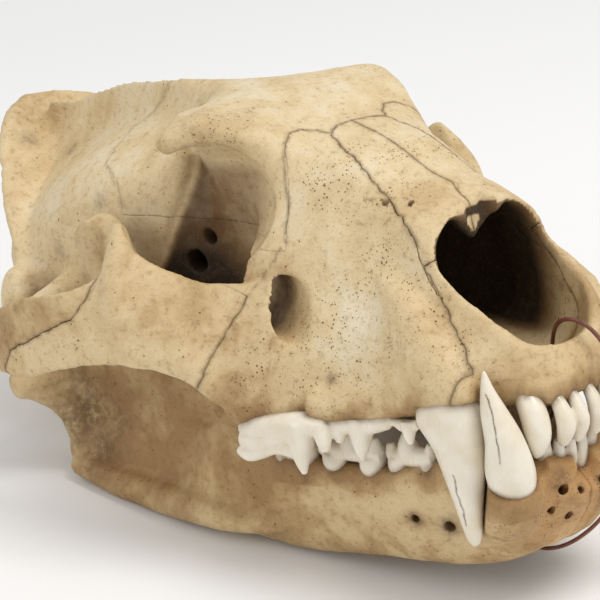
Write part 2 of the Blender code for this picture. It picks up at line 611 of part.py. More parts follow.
def prism(outline, near, far, place):
    """A solid between two levels; place puts a point of the outline and its level in space."""
    bm = bmesh.new()
    n = len(outline)
    rings = [[bm.verts.new(place(p, level)) for p in outline] for level in (near, far)]
    for i in range(n):
        j = (i + 1) % n
        bm.faces.new((rings[0][i], rings[0][j], rings[1][j], rings[1][i]))
    bm.faces.new(rings[0])
    bm.faces.new(rings[1])
    bmesh.ops.triangulate(bm, faces=bm.faces)
    bmesh.ops.recalc_face_normals(bm, faces=bm.faces)
    return bm


def largest_shell(obj):
    """Keeps only the biggest closed surface of an object."""
    bm = bmesh.new()
    bm.from_mesh(obj.data)
    left = set(bm.verts)
    shells = []
    while left:
        heap = [left.pop()]
        shell = set(heap)
        while heap:
            for edge in heap.pop().link_edges:
                for vert in edge.verts:
                    if vert in left:
                        left.discard(vert)
                        shell.add(vert)
                        heap.append(vert)
        shells.append(shell)
    keep = max(shells, key=len)
    bmesh.ops.delete(bm, geom=[v for v in bm.verts if v not in keep], context="VERTS")
    bm.to_mesh(obj.data)
    bm.free()
    return obj


def copy_of(obj, name):
    twin = bpy.data.objects.new(name, obj.data.copy())
    bpy.context.scene.collection.objects.link(twin)
    return twin


def is_sound(obj):
    """Whether the surface stays closed when points that nearly meet are welded."""
    bm = bmesh.new()
    bm.from_mesh(obj.data)
    bmesh.ops.triangulate(bm, faces=bm.faces)
    bmesh.ops.remove_doubles(bm, verts=bm.verts, dist=0.001)
    sound = all(len(edge.link_faces) == 2 for edge in bm.edges)
    bm.free()
    return sound


NUDGES = (0.0, 0.02, 0.05, 0.09, 0.14, 0.20, 0.27, 0.35)


def soundly_cut(obj, body_at, operation):
    """Cuts with a body, which grows by a little until the cut leaves no touching points."""
    for nudge in NUDGES:
        trial = cut(copy_of(obj, "trial"), to_object("region", [body_at(nudge)]), operation)
        if is_sound(trial) or nudge == NUDGES[-1]:
            break
        bpy.data.objects.remove(trial)
    old = obj.data
    obj.data = trial.data
    bpy.data.objects.remove(trial)
    bpy.data.meshes.remove(old)
    return obj


def part_off(rest, name, region):
    """Splits a region off the rest, with a gap between. region(by) gives the region grown by that."""
    piece = copy_of(rest, name)
    soundly_cut(piece, lambda nudge: region(-GAP / 2 - nudge), "INTERSECT")
    soundly_cut(rest, lambda nudge: region(GAP / 2 + nudge), "DIFFERENCE")
    return largest_shell(piece)


def part_cranium(bone):
    nodes = []
    for word, side in SIDES.items():
        nodes.append(part_off(bone, "zygomatic_" + word, lambda by: prism(
            grown(ZYGOMATIC_SIDE, by), 0, 1, lambda p, t: (
                (140 if t else 60 + 0.13 * (p[0] - 110) - by) * side, p[0], p[1]))))
    nodes.append(part_off(bone, "premaxilla", lambda by: prism(
        grown(PREMAXILLA_SIDE, by), -60, 60, lambda p, x: (x, p[0], p[1]))))
    for word, side in SIDES.items():
        nodes.append(part_off(bone, "nasal_" + word, lambda by: prism(
            grown(NASAL_TOP, by), 0, 1,
            lambda p, t: (p[0] * side, p[1], 220 if t else 116 - by + max(p[1] - 35, 0) * 0.42))))
    nodes.append(part_off(bone, "frontal", lambda by: prism(
        grown(FRONTAL_TOP, by), 131 - by, 220, lambda p, z: (p[0], p[1], z))))
    for word, side in SIDES.items():
        nodes.append(part_off(bone, "maxilla_" + word, lambda by: prism(
            grown([(0, -20), (0, 139), (110, 139), (110, -20)], by), 30, 220,
            lambda p, z: (p[0] * side, p[1], z))))
    bone.name = "braincase"
    nodes.append(largest_shell(bone))
    return nodes


TIE = [
    (8, 27, 84), (8, 27, 70), (7, 30, 60), (4, 44, 50), (1, 56, 34), (1, 54, 14), (2, 42, 6.5), (4, 28, 9),
    (6, 13, 19), (8, 2, 32), (9, -5, 46), (10, -7, 62), (10, -6, 82), (9, -2, 96), (6, 6, 104.5),
    (4, 15, 104), (6, 22, 98),
]


def tie_wire():
    curve = bpy.data.curves.new("jaw_wire", "CURVE")
    curve.dimensions = "3D"
    curve.resolution_u = 2
    curve.bevel_depth = WIRE_RADIUS
    curve.bevel_resolution = 1
    spline = curve.splines.new("NURBS")
    spline.points.add(len(TIE) - 1)
    for point, place in zip(spline.points, TIE):
        point.co = (*place, 1.0)
    spline.use_cyclic_u = True
    spline.order_u = 4
    drawn = bpy.data.objects.new("drawn", curve)
    bpy.context.scene.collection.objects.link(drawn)
    graph = bpy.context.evaluated_depsgraph_get()
    mesh = bpy.data.meshes.new_from_object(drawn.evaluated_get(graph))
    bpy.data.objects.remove(drawn)
    bpy.data.curves.remove(curve)
    obj = bpy.data.objects.new("jaw_wire", mesh)
    bpy.context.scene.collection.objects.link(obj)
    return obj


def thin(obj, triangles):
    """Fewer faces: the mesh as triangles, thinned to about this many."""
    obj.modifiers.new("triangles", "TRIANGULATE")
    bake(obj)
    step = obj.modifiers.new("thin", "DECIMATE")
    step.ratio = min(1.0, triangles / len(obj.data.polygons))
    return bake(obj)


def seat(obj):
    """Tips a finished bone to the resting pose and turns millimetres into metres."""
    tip = Matrix.Translation(PIVOT) @ Matrix.Rotation(-NOSE_UP, 4, "X") @ Matrix.Translation(-PIVOT)
    drop = Matrix.Translation((0, -CENTRE_Y, -FLOOR_Z))
    obj.data.transform(Matrix.Scale(MM, 4) @ drop @ tip)
    obj.data.update()


def paint(obj, name, colour, roughness):
    material = bpy.data.materials.get(name) or bpy.data.materials.new(name)
    material.use_nodes = True
    shader = material.node_tree.nodes["Principled BSDF"]
    shader.inputs["Base Color"].default_value = colour
    shader.inputs["Roughness"].default_value = roughness
    shader.inputs["Metallic"].default_value = 0.0
    obj.data.materials.clear()
    obj.data.materials.append(material)


def main():
    clear_scene()
    home = bpy.data.collections.new("big_cat_skull")
    bpy.context.scene.collection.children.link(home)

    bone = thin(cranium(VOXEL), CRANIUM_FACES)
    jaws = {word: thin(lower_jaw(side, VOXEL), JAW_FACES) for word, side in SIDES.items()}
    nodes = []
    for word, side in SIDES.items():
        cut(bone, teeth(side, UPPER_CHEEK, UPPER_INCISORS), "UNION")
        cut(jaws[word], teeth(side, LOWER_CHEEK, LOWER_INCISORS), "UNION")
        cut(bone, to_object("socket", [canine(UPPER_CANINE, side, GAP)]))
        cut(jaws[word], to_object("socket", [canine(LOWER_CANINE, side, GAP)]))
        cut(bone, to_object("room", [canine(LOWER_CANINE, side, 1.0)]))
        cut(jaws[word], to_object("room", [canine(UPPER_CANINE, side, 1.0)]))
        cut(jaws[word], to_object("room", [rod(UPPER_INCISORS[2][0],
                                               [r + 0.8 for r in UPPER_INCISORS[2][1]], side)]))
        for name, shape in (("upper", UPPER_CANINE), ("lower", LOWER_CANINE)):
            nodes.append(to_object(name + "_canine_" + word, [canine(shape, side)]))
            paint(nodes[-1], "enamel", ENAMEL, 0.35)
        jaws[word].name = "mandible_" + word
        largest_shell(jaws[word])
    nodes.append(tie_wire())
    paint(nodes[-1], "wire", WIRE, 0.4)
    for node in part_cranium(bone) + list(jaws.values()):
        paint(node, "bone", BONE, 0.6)
        nodes.append(node)
    for node in nodes:
        seat(node)
        for collection in list(node.users_collection):
            collection.objects.unlink(node)
        home.objects.link(node)


main()
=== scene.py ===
# %% [markdown]
# # A big cat's skull, as a museum model
# The skull stands on the lower border of its jaw, with the teeth closed. The measured model gives
# the frame: its size, its floor and the body that every piece rides on. The first step loads it.

# %% Load the frame
import math
import json

import bmesh
import bpy
import numpy as np
from mathutils import Matrix, Vector, noise
from mathutils.bvhtree import BVHTree
from mathutils.kdtree import KDTree

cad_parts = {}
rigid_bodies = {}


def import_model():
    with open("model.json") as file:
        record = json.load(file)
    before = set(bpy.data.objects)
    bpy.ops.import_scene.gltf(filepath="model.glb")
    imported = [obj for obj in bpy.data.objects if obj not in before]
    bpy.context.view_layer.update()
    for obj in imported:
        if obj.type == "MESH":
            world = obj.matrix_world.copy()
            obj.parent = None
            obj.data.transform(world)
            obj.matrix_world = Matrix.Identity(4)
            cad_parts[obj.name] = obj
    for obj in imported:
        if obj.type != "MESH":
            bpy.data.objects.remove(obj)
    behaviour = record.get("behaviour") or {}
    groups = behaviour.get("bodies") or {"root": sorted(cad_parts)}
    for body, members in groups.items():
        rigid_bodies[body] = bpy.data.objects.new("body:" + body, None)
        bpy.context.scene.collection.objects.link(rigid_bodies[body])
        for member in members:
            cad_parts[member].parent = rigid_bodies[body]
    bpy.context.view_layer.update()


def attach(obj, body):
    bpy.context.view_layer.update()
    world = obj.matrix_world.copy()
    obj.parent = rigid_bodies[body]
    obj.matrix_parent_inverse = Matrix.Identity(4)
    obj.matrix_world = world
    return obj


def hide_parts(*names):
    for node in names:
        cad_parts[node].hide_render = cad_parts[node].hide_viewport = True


for leftover in list(bpy.data.objects):
    bpy.data.objects.remove(leftover)
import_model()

# %% [markdown]
# Bone is easiest to think of in the skull's own directions: x out to the side, y back from the
# incisors, z up from a level palate, all in millimetres. The finished pieces are tipped nose up
# about a pivot, until the jaw's lower border lies along the floor, and then turned into metres.

# %% From the skull's own frame to the resting pose
MM = 0.001
NOSE_UP = math.radians(8.5)
PIVOT = Vector((0.0, 150.0, 60.0))
CENTRE_Y = 179.90
FLOOR_Z = 11.8
SIDES = {"right": -1, "left": 1}
SEAT = (
    Matrix.Scale(MM, 4)
    @ Matrix.Translation((0, -CENTRE_Y, -FLOOR_Z))
    @ Matrix.Translation(PIVOT)
    @ Matrix.Rotation(-NOSE_UP, 4, "X")
    @ Matrix.Translation(-PIVOT)
)
print("the skull is tipped back", round(math.degrees(NOSE_UP), 1), "degrees")

# %% [markdown]
# A smooth line through a few measured places is the base of every form here. The same
# interpolation runs along a bone, from section to section, and round each section, from corner to
# corner, so a long curved bone needs only about ten rows of numbers.

# %% Smooth lines and rings
def smooth_row(rows, at):
    places = rows[:, 0]
    at = min(max(at, places[0]), places[-1])
    i = int(np.clip(np.searchsorted(places, at) - 1, 0, len(places) - 2))
    step = places[i + 1] - places[i]
    t = (at - places[i]) / step

    def slope(k):
        low, high = max(k - 1, 0), min(k + 1, len(places) - 1)
        return (rows[high, 1:] - rows[low, 1:]) / (places[high] - places[low]) * step

    return (
        rows[i, 1:] * (2 * t**3 - 3 * t**2 + 1)
        + slope(i) * (t**3 - 2 * t**2 + t)
        + rows[i + 1, 1:] * (3 * t**2 - 2 * t**3)
        + slope(i + 1) * (t**3 - t**2)
    )


def smooth_ring(corners, count):
    corners = np.array(corners, float)
    n = len(corners)
    out = []
    for k in range(count):
        at = k / count * n
        i, t = int(at), at - int(at)
        a, b, c, d = (corners[(i + j) % n] for j in (-1, 0, 1, 2))
        out.append(
            b * (2 * t**3 - 3 * t**2 + 1)
            + (c - a) / 2 * (t**3 - 2 * t**2 + t)
            + c * (3 * t**2 - 2 * t**3)
            + (d - b) / 2 * (t**3 - t**2)
        )
    return out


print("halfway between 0 and 10:", smooth_row(np.array([[0, 0], [1, 10.0]]), 0.5))

# %% [markdown]
# Every bone starts as closed tubes that run into each other. A tube is a bmesh grid rolled up: its
# rows become the sections, the seam is welded and the ends are filled. There is a two-sided skin
# through half sections, a web between two edges for thin bone such as the cheek arch, and a round
# rod for ridges and points. An egg and a flat plate with its own outline do the rest.

# %% Skins, webs, rods and eggs
def facing_out(bm):
    bm.normal_update()
    bmesh.ops.recalc_face_normals(bm, faces=bm.faces)
    return bm


def lofted(rings):
    count = len(rings[0])
    bm = bmesh.new()
    bmesh.ops.create_grid(bm, x_segments=count, y_segments=len(rings) - 1, size=1.0)
    for vert in bm.verts:
        u = round((vert.co.x + 1) / 2 * count) % count
        v = round((vert.co.y + 1) / 2 * (len(rings) - 1))
        vert.co = rings[v][u]
    bmesh.ops.remove_doubles(bm, verts=bm.verts, dist=1e-4)
    bmesh.ops.holes_fill(bm, edges=bm.edges, sides=0)
    return facing_out(bm)


def skin(sections, around=72, step=2.0):
    rows = np.array([[y] + [n for p in half for n in p] for y, half in sections], float)
    places = np.linspace(rows[0, 0], rows[-1, 0], int((rows[-1, 0] - rows[0, 0]) / step) + 2)
    rings = []
    for y in places:
        half = smooth_row(rows, y).reshape(-1, 2)
        whole = [tuple(p) for p in half] + [(-x, z) for x, z in half[-2:0:-1]]
        rings.append([(x, y, z) for x, z in smooth_ring(whole, around)])
    return lofted(rings)


def web(rows, side=1, around=28, steps=8, roundness=0.7):
    table = np.array([[i, *a, *b, ta, tb] for i, (a, b, ta, tb) in enumerate(rows)], float)
    last = len(rows) - 1
    rings = []
    for k in range(steps * last + 1):
        s = k / steps
        row = smooth_row(table, s)
        ahead, behind = smooth_row(table, min(s + 0.1, last)), smooth_row(table, max(s - 0.1, 0))
        a, b = row[:3], row[3:6]
        run = (ahead[:3] + ahead[3:6]) - (behind[:3] + behind[3:6])
        normal = np.cross(b - a, run)
        normal /= np.linalg.norm(normal)
        ring = []
        for j in range(around):
            angle = 2 * math.pi * j / around
            w = (1 - math.cos(angle)) / 2
            lift = math.copysign(abs(math.sin(angle)) ** roundness, math.sin(angle))
            p = a + (b - a) * w + normal * lift * (row[6] + (row[7] - row[6]) * w)
            ring.append((p[0] * side, p[1], p[2]))
        rings.append(ring)
    return lofted(rings)


def rod(points, radii, side=1, around=20, steps=8):
    table = np.array([[i, *p, r] for i, (p, r) in enumerate(zip(points, radii))], float)
    last = len(points) - 1
    whole_run = (Vector(points[-1]) - Vector(points[0])).normalized()
    reference = Vector((1, 0, 0)) if abs(whole_run.z) > 0.7 else Vector((0, 0, 1))
    rings = []
    for k in range(steps * last + 1):
        s = k / steps
        row = smooth_row(table, s)
        run = Vector(smooth_row(table, min(s + 0.1, last))[:3] - smooth_row(table, max(s - 0.1, 0))[:3])
        run.normalize()
        across = run.cross(reference).normalized()
        up = across.cross(run)
        ring = []
        for j in range(around):
            angle = 2 * math.pi * j / around
            p = Vector(row[:3]) + (across * math.cos(angle) + up * math.sin(angle)) * row[3]
            ring.append((p.x * side, p.y, p.z))
        rings.append(ring)
    return lofted(rings)


def egg(centre, radii, side=1, turn=(0, 0, 0), segments=40):
    bm = bmesh.new()
    bmesh.ops.create_uvsphere(bm, u_segments=segments, v_segments=segments // 2, radius=1.0)
    spin = Matrix.Identity(4)
    for angle, axis in zip(turn, "XYZ"):
        spin = Matrix.Rotation(math.radians(angle), 4, axis) @ spin
    place = Matrix.Translation(centre) @ spin @ Matrix.Diagonal((*radii, 1.0))
    if side < 0:
        place = Matrix.Diagonal((-1, 1, 1, 1)) @ place
    bmesh.ops.transform(bm, matrix=place, verts=bm.verts)
    return facing_out(bm)


def plate(outline, thickness, place, side):
    bm = bmesh.new()
    face = bm.faces.new([bm.verts.new((0, y, z)) for y, z in outline])
    far = bmesh.ops.extrude_face_region(bm, geom=[face])["geom"]
    bmesh.ops.translate(bm, verts=[g for g in far if isinstance(g, bmesh.types.BMVert)], vec=(1, 0, 0))
    for vert in bm.verts:
        p = place(vert.co.y, vert.co.z, (vert.co.x - 0.5) * thickness)
        vert.co = Vector((p[0] * side, p[1], p[2]))
    return facing_out(bm)


test_rod = rod([(0, 0, 0), (0, 0, 10)], [2, 1])
print("a test rod has", len(test_rod.faces), "faces")
test_rod.free()

# %% [markdown]
# Overlapping tubes become one bone in a voxel remesh, which wraps them all in a single skin, and a
# light smoothing that softens the creases where they met, much as real bone flows from one form
# into the next. Openings are cut afterwards with a Boolean and softened by a second remesh.

# %% Fuse and cut
def to_object(name, bodies):
    whole = bmesh.new()
    for bm in bodies:
        part = bpy.data.meshes.new("part")
        bm.to_mesh(part)
        bm.free()
        whole.from_mesh(part)
        bpy.data.meshes.remove(part)
    mesh = bpy.data.meshes.new(name)
    whole.to_mesh(mesh)
    whole.free()
    obj = bpy.data.objects.new(name, mesh)
    bpy.context.scene.collection.objects.link(obj)
    return obj


def bake(obj):
    graph = bpy.context.evaluated_depsgraph_get()
    mesh = bpy.data.meshes.new_from_object(obj.evaluated_get(graph))
    old = obj.data
    obj.modifiers.clear()
    obj.data = mesh
    bpy.data.meshes.remove(old)
    return obj


def fuse(obj, voxel, smoothing=3):
    remesh = obj.modifiers.new("fuse", "REMESH")
    remesh.mode = "VOXEL"
    remesh.voxel_size = voxel
    soften = obj.modifiers.new("soften", "SMOOTH")
    soften.factor = 0.5
    soften.iterations = smoothing
    return bake(obj)


def cut(obj, cutter, operation="DIFFERENCE"):
    step = obj.modifiers.new("cut", "BOOLEAN")
    step.operation = operation
    step.solver = "MANIFOLD"
    step.object = cutter
    bake(obj)
    bpy.data.objects.remove(cutter)
    return obj


BONE_VOXEL = 1.3
print("bone is remeshed at", BONE_VOXEL, "mm")

# %% [markdown]
# The braincase and the face are lofted as two skins. Each row is one slice through the head, given
# as the right-hand half outline from the palate round to the midline on top; the other half is its
# mirror. Sections are close together where the form turns fast, as at the muzzle.

# %% Slices of the face and the braincase
FACE = [
    (3, [(0, 79), (6, 78), (13, 79), (15, 82), (14, 85), (11, 87), (8, 88), (4, 88), (0, 88)]),
    (8, [(0, 79), (10, 77), (18, 79), (21, 84), (21, 90), (19, 95), (16, 99), (8, 100), (0, 100)]),
    (14, [(0, 79), (14, 77), (24, 80), (27, 86), (27, 93), (25, 100), (22, 106), (10, 109), (0, 109)]),
    (22, [(0, 78), (22, 78), (33, 81), (36, 88), (34, 97), (29, 105), (25, 113), (16, 118), (0, 119)]),
    (32, [(0, 78), (28, 78), (42, 80), (44, 88), (40, 98), (32, 109), (27, 118), (23, 128), (0, 134)]),
    (42, [(0, 77), (30, 78), (45, 79), (47, 89), (43, 100), (34, 111), (28, 123), (25, 134), (0, 145)]),
    (54, [(0, 76), (32, 76), (45, 77), (47, 88), (44, 100), (37, 112), (30, 125), (24, 141), (0, 149)]),
    (72, [(0, 74), (36, 71), (50, 72), (50, 85), (46, 100), (40, 113), (33, 129), (22, 148), (0, 154)]),
    (92, [(0, 74), (44, 69), (62, 71), (60, 83), (55, 98), (48, 114), (38, 135), (22, 159), (0, 163)]),
    (108, [(0, 73), (48, 66), (70, 68), (70, 82), (65, 97), (54, 117), (40, 142), (26, 163), (0, 168)]),
    (122, [(0, 73), (50, 66), (72, 67), (74, 82), (70, 98), (56, 118), (40, 150), (34, 169), (0, 171)]),
    (134, [(0, 74), (40, 70), (60, 72), (62, 84), (60, 98), (46, 124), (36, 154), (41, 174), (0, 175)]),
    (146, [(0, 74), (24, 70), (34, 76), (36, 90), (34, 104), (28, 126), (32, 156), (45, 177), (0, 178)]),
]
CASE = [
    (140, [(0, 88), (16, 88), (24, 92), (27, 105), (27, 120), (28, 136), (34, 155), (44, 175), (0, 177)]),
    (156, [(0, 84), (14, 85), (22, 90), (25, 105), (26, 120), (28, 137), (36, 158), (48, 178), (0, 180)]),
    (168, [(0, 82), (14, 84), (22, 90), (25, 105), (26, 120), (29, 137), (34, 156), (43, 176), (0, 181)]),
    (182, [(0, 80), (14, 82), (24, 90), (28, 105), (29, 120), (30, 136), (29, 152), (26, 173), (0, 181)]),
    (198, [(0, 78), (14, 80), (28, 88), (33, 102), (34, 118), (34, 134), (30, 150), (16, 168), (0, 180)]),
    (220, [(0, 77), (16, 79), (33, 86), (41, 100), (43, 116), (42, 132), (34, 148), (10, 164), (0, 179)]),
    (245, [(0, 77), (18, 78), (38, 85), (47, 99), (50, 114), (48, 130), (37, 146), (7, 161), (0, 177)]),
    (270, [(0, 77), (20, 78), (42, 84), (50, 98), (52, 112), (49, 127), (36, 142), (6, 156), (0, 174)]),
    (295, [(0, 77), (20, 78), (44, 84), (50, 96), (50, 108), (45, 121), (31, 134), (6, 150), (0, 168)]),
    (318, [(0, 80), (18, 80), (38, 86), (44, 97), (42, 108), (36, 119), (24, 130), (7, 146), (0, 162)]),
    (336, [(0, 84), (14, 85), (26, 90), (30, 100), (30, 110), (26, 120), (18, 130), (8, 145), (0, 161)]),
]
print("slices:", len(FACE), "through the face and", len(CASE), "through the braincase")

# %% [markdown]
# Thin bone comes next: the crest round the nape, and the cheek arch that bows out past the orbit to
# the jaw joint. Both are webs, each row giving the two edges and how thick the bone is at each.

# %% The crest of the nape and the cheek arch
NAPE = [
    ((0, 352, 161), (0, 322, 128), 4.5, 9),
    ((12, 346, 160), (8, 318, 126), 3.5, 9),
    ((24, 336, 155), (16, 312, 122), 3, 8),
    ((37, 324, 143), (24, 304, 116), 3, 8),
    ((49, 308, 130), (32, 294, 108), 3, 8),
    ((56, 294, 117), (38, 286, 100), 3.5, 8),
    ((62, 284, 104), (42, 280, 94), 4, 8),
    ((70, 278, 94), (44, 278, 88), 4, 8),
]
ARCH = [
    ((48, 106, 122), (60, 106, 74), 8, 8),
    ((58, 124, 120), (76, 121, 76), 6, 8),
    ((66, 138, 121), (84, 128, 86), 4, 7),
    ((73, 151, 128), (90, 140, 91), 3.5, 6.5),
    ((81, 160, 134), (96, 153, 93), 3, 5.5),
    ((95, 170, 125), (101, 170, 92), 3, 5),
    ((104, 182, 121), (104, 185, 89), 3, 5),
    ((107, 200, 118), (107, 203, 84), 3, 5),
    ((107, 216, 113), (107, 217, 82), 3.5, 6),
    ((104, 230, 107), (104, 231, 81), 4, 7),
    ((95, 241, 103), (95, 243, 80), 5, 8),
    ((82, 247, 101), (80, 250, 79), 6, 9),
    ((66, 251, 103), (64, 254, 79), 7, 10),
    ((44, 256, 108), (44, 258, 80), 9, 10),
]
BROW = [
    ((36, 138, 172), (30, 180, 176), 6, 3),
    ((46, 147, 172), (40, 177, 175), 6, 3),
    ((52, 156, 170), (48, 172, 171), 5, 3.5),
    ((56, 165, 167), (55, 171, 167), 3.8, 3.2),
]
JOINT_FLANGE = [((60, 258, 84), (60, 259, 66), 5, 2.5), ((92, 254, 84), (90, 256, 70), 5, 2.5)]
PALATE_WING = [
    ((20, 146, 94), (26, 146, 72), 3, 3),
    ((20, 170, 92), (22, 172, 68), 3, 2.5),
    ((20, 200, 90), (20, 206, 66), 3, 2.5),
    ((22, 225, 90), (21, 224, 68), 3, 2),
]


CANINE_ROOT = [
    ((36.5, 16.5, 84.5), (39.5, 48, 80), 10, 11),
    ((35.5, 19, 91), (39.5, 50, 88), 10, 11.5),
    ((34, 29, 101), (37, 54, 98), 9.5, 11),
    ((31, 45, 112), (33, 62, 108), 7, 9),
]
CRANIUM_RODS = [
    # the cheek bone's upward point, then the snout above the canine's root
    ([(95, 158, 108), (90, 160, 122), (83.5, 163, 136), (79.5, 166, 144)], [4, 6.4, 5.2, 3.6]),
    ([(36, 41, 98), (33, 55, 112), (29, 72, 124)], [12, 9, 5]),
    # the gums of the cheek teeth and of the incisors
    ([(39.5, 45, 82), (45, 57, 80), (51, 72, 78), (59, 88, 77)], [6.5, 6.5, 6.5, 6]),
    ([(4, 9, 85), (11, 10, 85.5), (19, 14, 86)], [6, 6.5, 8]),
    # the nape's rim, the ridge behind the orbit and the ring round its nerve openings
    ([(0, 351, 159), (12, 345, 158), (24, 335, 154), (37, 323, 142)], [4.6, 4.2, 3.6, 2.6]),
    ([(33, 182, 162), (32.5, 194, 142), (35, 206, 121)], [4.2, 3.8, 3]),
    ([(33.5, 200, 118), (33, 196, 124), (31, 191, 129), (29.5, 182, 132), (28, 173, 134), (27, 163, 134)],
     [1.6, 2.1, 2.2, 2.2, 2.0, 1.5]),
    # the downward point behind the ear
    ([(50, 296, 92), (48, 303, 80), (45, 309, 67)], [9, 7, 4]),
]
CRANIUM_EGGS = [
    # the ear's swollen capsule, the bone above it, the joint knob beside the spine's opening
    ((36, 282, 80), (16, 22, 15), (0, 0, 12)),
    ((62, 283, 90), (9, 10, 17), (0, 0, 0)),
    ((20, 330, 98), (9, 13, 16), (-20, 0, 15)),
]


def cranium_bodies():
    bodies = [
        skin(FACE), skin(CASE),
        rod([(0, 205, 88), (0, 260, 86), (0, 300, 86), (0, 325, 90)], [14, 16, 18, 14]),
    ]
    for side in SIDES.values():
        for rows in (NAPE, ARCH, BROW, JOINT_FLANGE, PALATE_WING, CANINE_ROOT):
            bodies.append(web(rows, side))
        for points, radii in CRANIUM_RODS:
            bodies.append(rod(points, radii, side))
        for centre, radii, turn in CRANIUM_EGGS:
            bodies.append(egg(centre, radii, side, turn))
    return bodies


print("bodies in the upper skull:", len(cranium_bodies()))

# %% [markdown]
# The hollows are forms too, and are taken away: the nose passage, the eye sockets, the canal that
# carries the nerve below each eye, the ear holes, the arched palate and the room beside the snout
# where the lower canine's point rests. So the canines are drawn here, as rods pressed a little flat.

# %% The hollows
UPPER_CANINE = (
    [(36, 46, 98), (36.8, 38.5, 87), (37.3, 34, 78.4), (37.6, 30.6, 68.4), (37.6, 29.8, 62),
     (37.4, 29.5, 54.7),
     (36.8, 29.8, 41.2), (35.8, 30.7, 29.3), (35.4, 31.3, 25.5)],
    [5.0, 10.0, 14.3, 11.8, 10.3, 8.8, 5.8, 3.3, 0.9], 0.78)
LOWER_CANINE = (
    [(27, 23, 37), (29.4, 16.0, 46), (30.7, 12.0, 53), (31.7, 10.8, 59.3), (33.2, 10.2, 69.5),
     (34.2, 12.9, 80.7),
     (34.5, 14.4, 88), (34.7, 14.9, 95.9)],
    [4.0, 7.8, 9.4, 9.6, 7.7, 5.2, 3.0, 0.6], 0.88)
NOSE_HOLE = [
    (6, [(0, 99), (6, 100), (10, 102), (12, 106), (12, 112), (11, 118), (9, 124), (6, 128), (3, 129),
         (0, 128)]),
    (14, [(0, 94), (9, 95), (15, 99), (18, 105), (19, 112), (18, 120), (16, 128), (11, 133), (5, 133),
          (0, 130)]),
    (22, [(0, 89), (12, 90), (19, 97), (22, 105), (22.5, 113), (22, 122), (19, 131), (13, 136), (6, 134),
          (0, 131)]),
    (32, [(0, 86), (15, 88), (22, 96), (24, 106), (24.5, 116), (23.5, 126), (20, 135), (13, 139), (6, 135),
          (0, 130)]),
    (44, [(0, 84), (17, 87), (25, 96), (27, 106), (26, 117), (24, 128), (20, 137), (13, 141), (5, 135),
          (0, 130)]),
    (54, [(0, 84), (18, 87), (27, 96), (29, 107), (27, 119), (24, 130), (19, 138), (12, 142), (5, 135),
          (0, 130)]),
    (66, [(0, 84), (18, 87), (28, 96), (31, 107), (29, 119), (25, 131), (19, 140), (12, 144), (5, 140),
          (0, 136)]),
    (85, [(0, 84), (18, 87), (29, 96), (33, 107), (31, 120), (27, 133), (20, 143), (12, 148), (5, 149),
          (0, 148)]),
    (110, [(0, 86), (12, 91), (20, 98), (23, 110), (22, 124), (19, 138), (13, 148), (8, 153), (4, 155),
           (0, 156)]),
    (126, [(0, 98), (6, 102), (10, 108), (12, 116), (12, 126), (10, 136), (8, 145), (6, 149), (3, 152),
           (0, 153)]),
]
NOSE_RIM = [
    (-30, 90), (3, 96.5), (9, 100), (11, 101.5), (15, 106.5), (22.5, 113), (35.5, 120.5), (43, 127), (46,
        134),
    (46.5, 175), (-30, 175),
]
CRANIUM_HOLES = [
    # three openings for nerves at the back of the orbit, the ear hole, the opening behind the incisors
    ([(42, 179, 124), (29, 182, 123), (12, 186, 120)], [3.8, 3.6, 3.0]),
    ([(44, 188, 113), (30, 191, 112), (14, 196, 110)], [5.2, 5.0, 4.2]),
    ([(36, 171, 121), (27, 171, 121), (18, 172, 121)], [1.6, 1.5, 1.4]),
    ([(75, 268, 92), (60, 272, 91), (50, 274, 91)], [4.5, 4, 4]),
    ([(8, 25, 62), (8, 25, 80), (8, 27, 104)], [4.5, 4.5, 4.5]),
]
NERVE_CANAL = [
    ((58, 76, 124), (70, 76, 96), 6, 6),
    ((49, 100, 123), (59, 93, 98), 6, 6),
    ((44, 122, 124), (52, 122, 102), 7, 7),
    ((44, 138, 126), (52, 138, 106), 8, 8),
]


def canine(shape, side, extra=0.0):
    points, radii, flatness = shape
    bm = rod(points, [r + extra for r in radii], side, around=48, steps=14)
    levels = sorted((p[2], p[0]) for p in points)
    for vert in bm.verts:
        middle = side * np.interp(vert.co.z, *zip(*levels))
        vert.co.x = middle + (vert.co.x - middle) * flatness
    return bm


def cranium_hollows():
    hollows = [
        skin(NOSE_HOLE),
        rod([(0, 362, 108), (0, 330, 105), (0, 300, 108), (0, 270, 112)], [14, 13, 15, 16]),
        egg((0, 84, 62), (36, 58, 12)),
        egg((0, 195, 62), (15, 42, 20)),
        plate(NOSE_RIM, 100.0, lambda y, z, across: (across, y, z), 1),
        egg((0, 39, 140), (8, 14, 17)),
        egg((0, 49, 156.5), (9, 14, 12)),
    ]
    for side in SIDES.values():
        hollows.append(egg((58, 143, 147), (30, 31, 25), side, turn=(0, 0, -20)))
        hollows.append(egg((14, 38, 134), (10, 14, 8), side))
        hollows.append(web(NERVE_CANAL, side, roundness=0.95))
        hollows.append(canine(LOWER_CANINE, side, 1.4))
        for points, radii in CRANIUM_HOLES:
            hollows.append(rod(points, radii, side))
    return hollows


upper_skull = fuse(to_object("upper_skull", cranium_bodies()), BONE_VOXEL, 3)
cut(upper_skull, fuse(to_object("hollows", cranium_hollows()), BONE_VOXEL, 1))
fuse(upper_skull, BONE_VOXEL, 2)
print("upper skull:", len(upper_skull.data.polygons), "faces")

# %% [markdown]
# Each half of the lower jaw is a long web for the body, a plate for the upright branch that the
# chewing muscles pulled on, and rods for the joint, the chin and the lower border. The broad
# shallow dish on the branch's outer face is where the cheek muscle was anchored. The upper canine
# hangs beside the jaw, so its room is swept forwards and outwards through the bone.

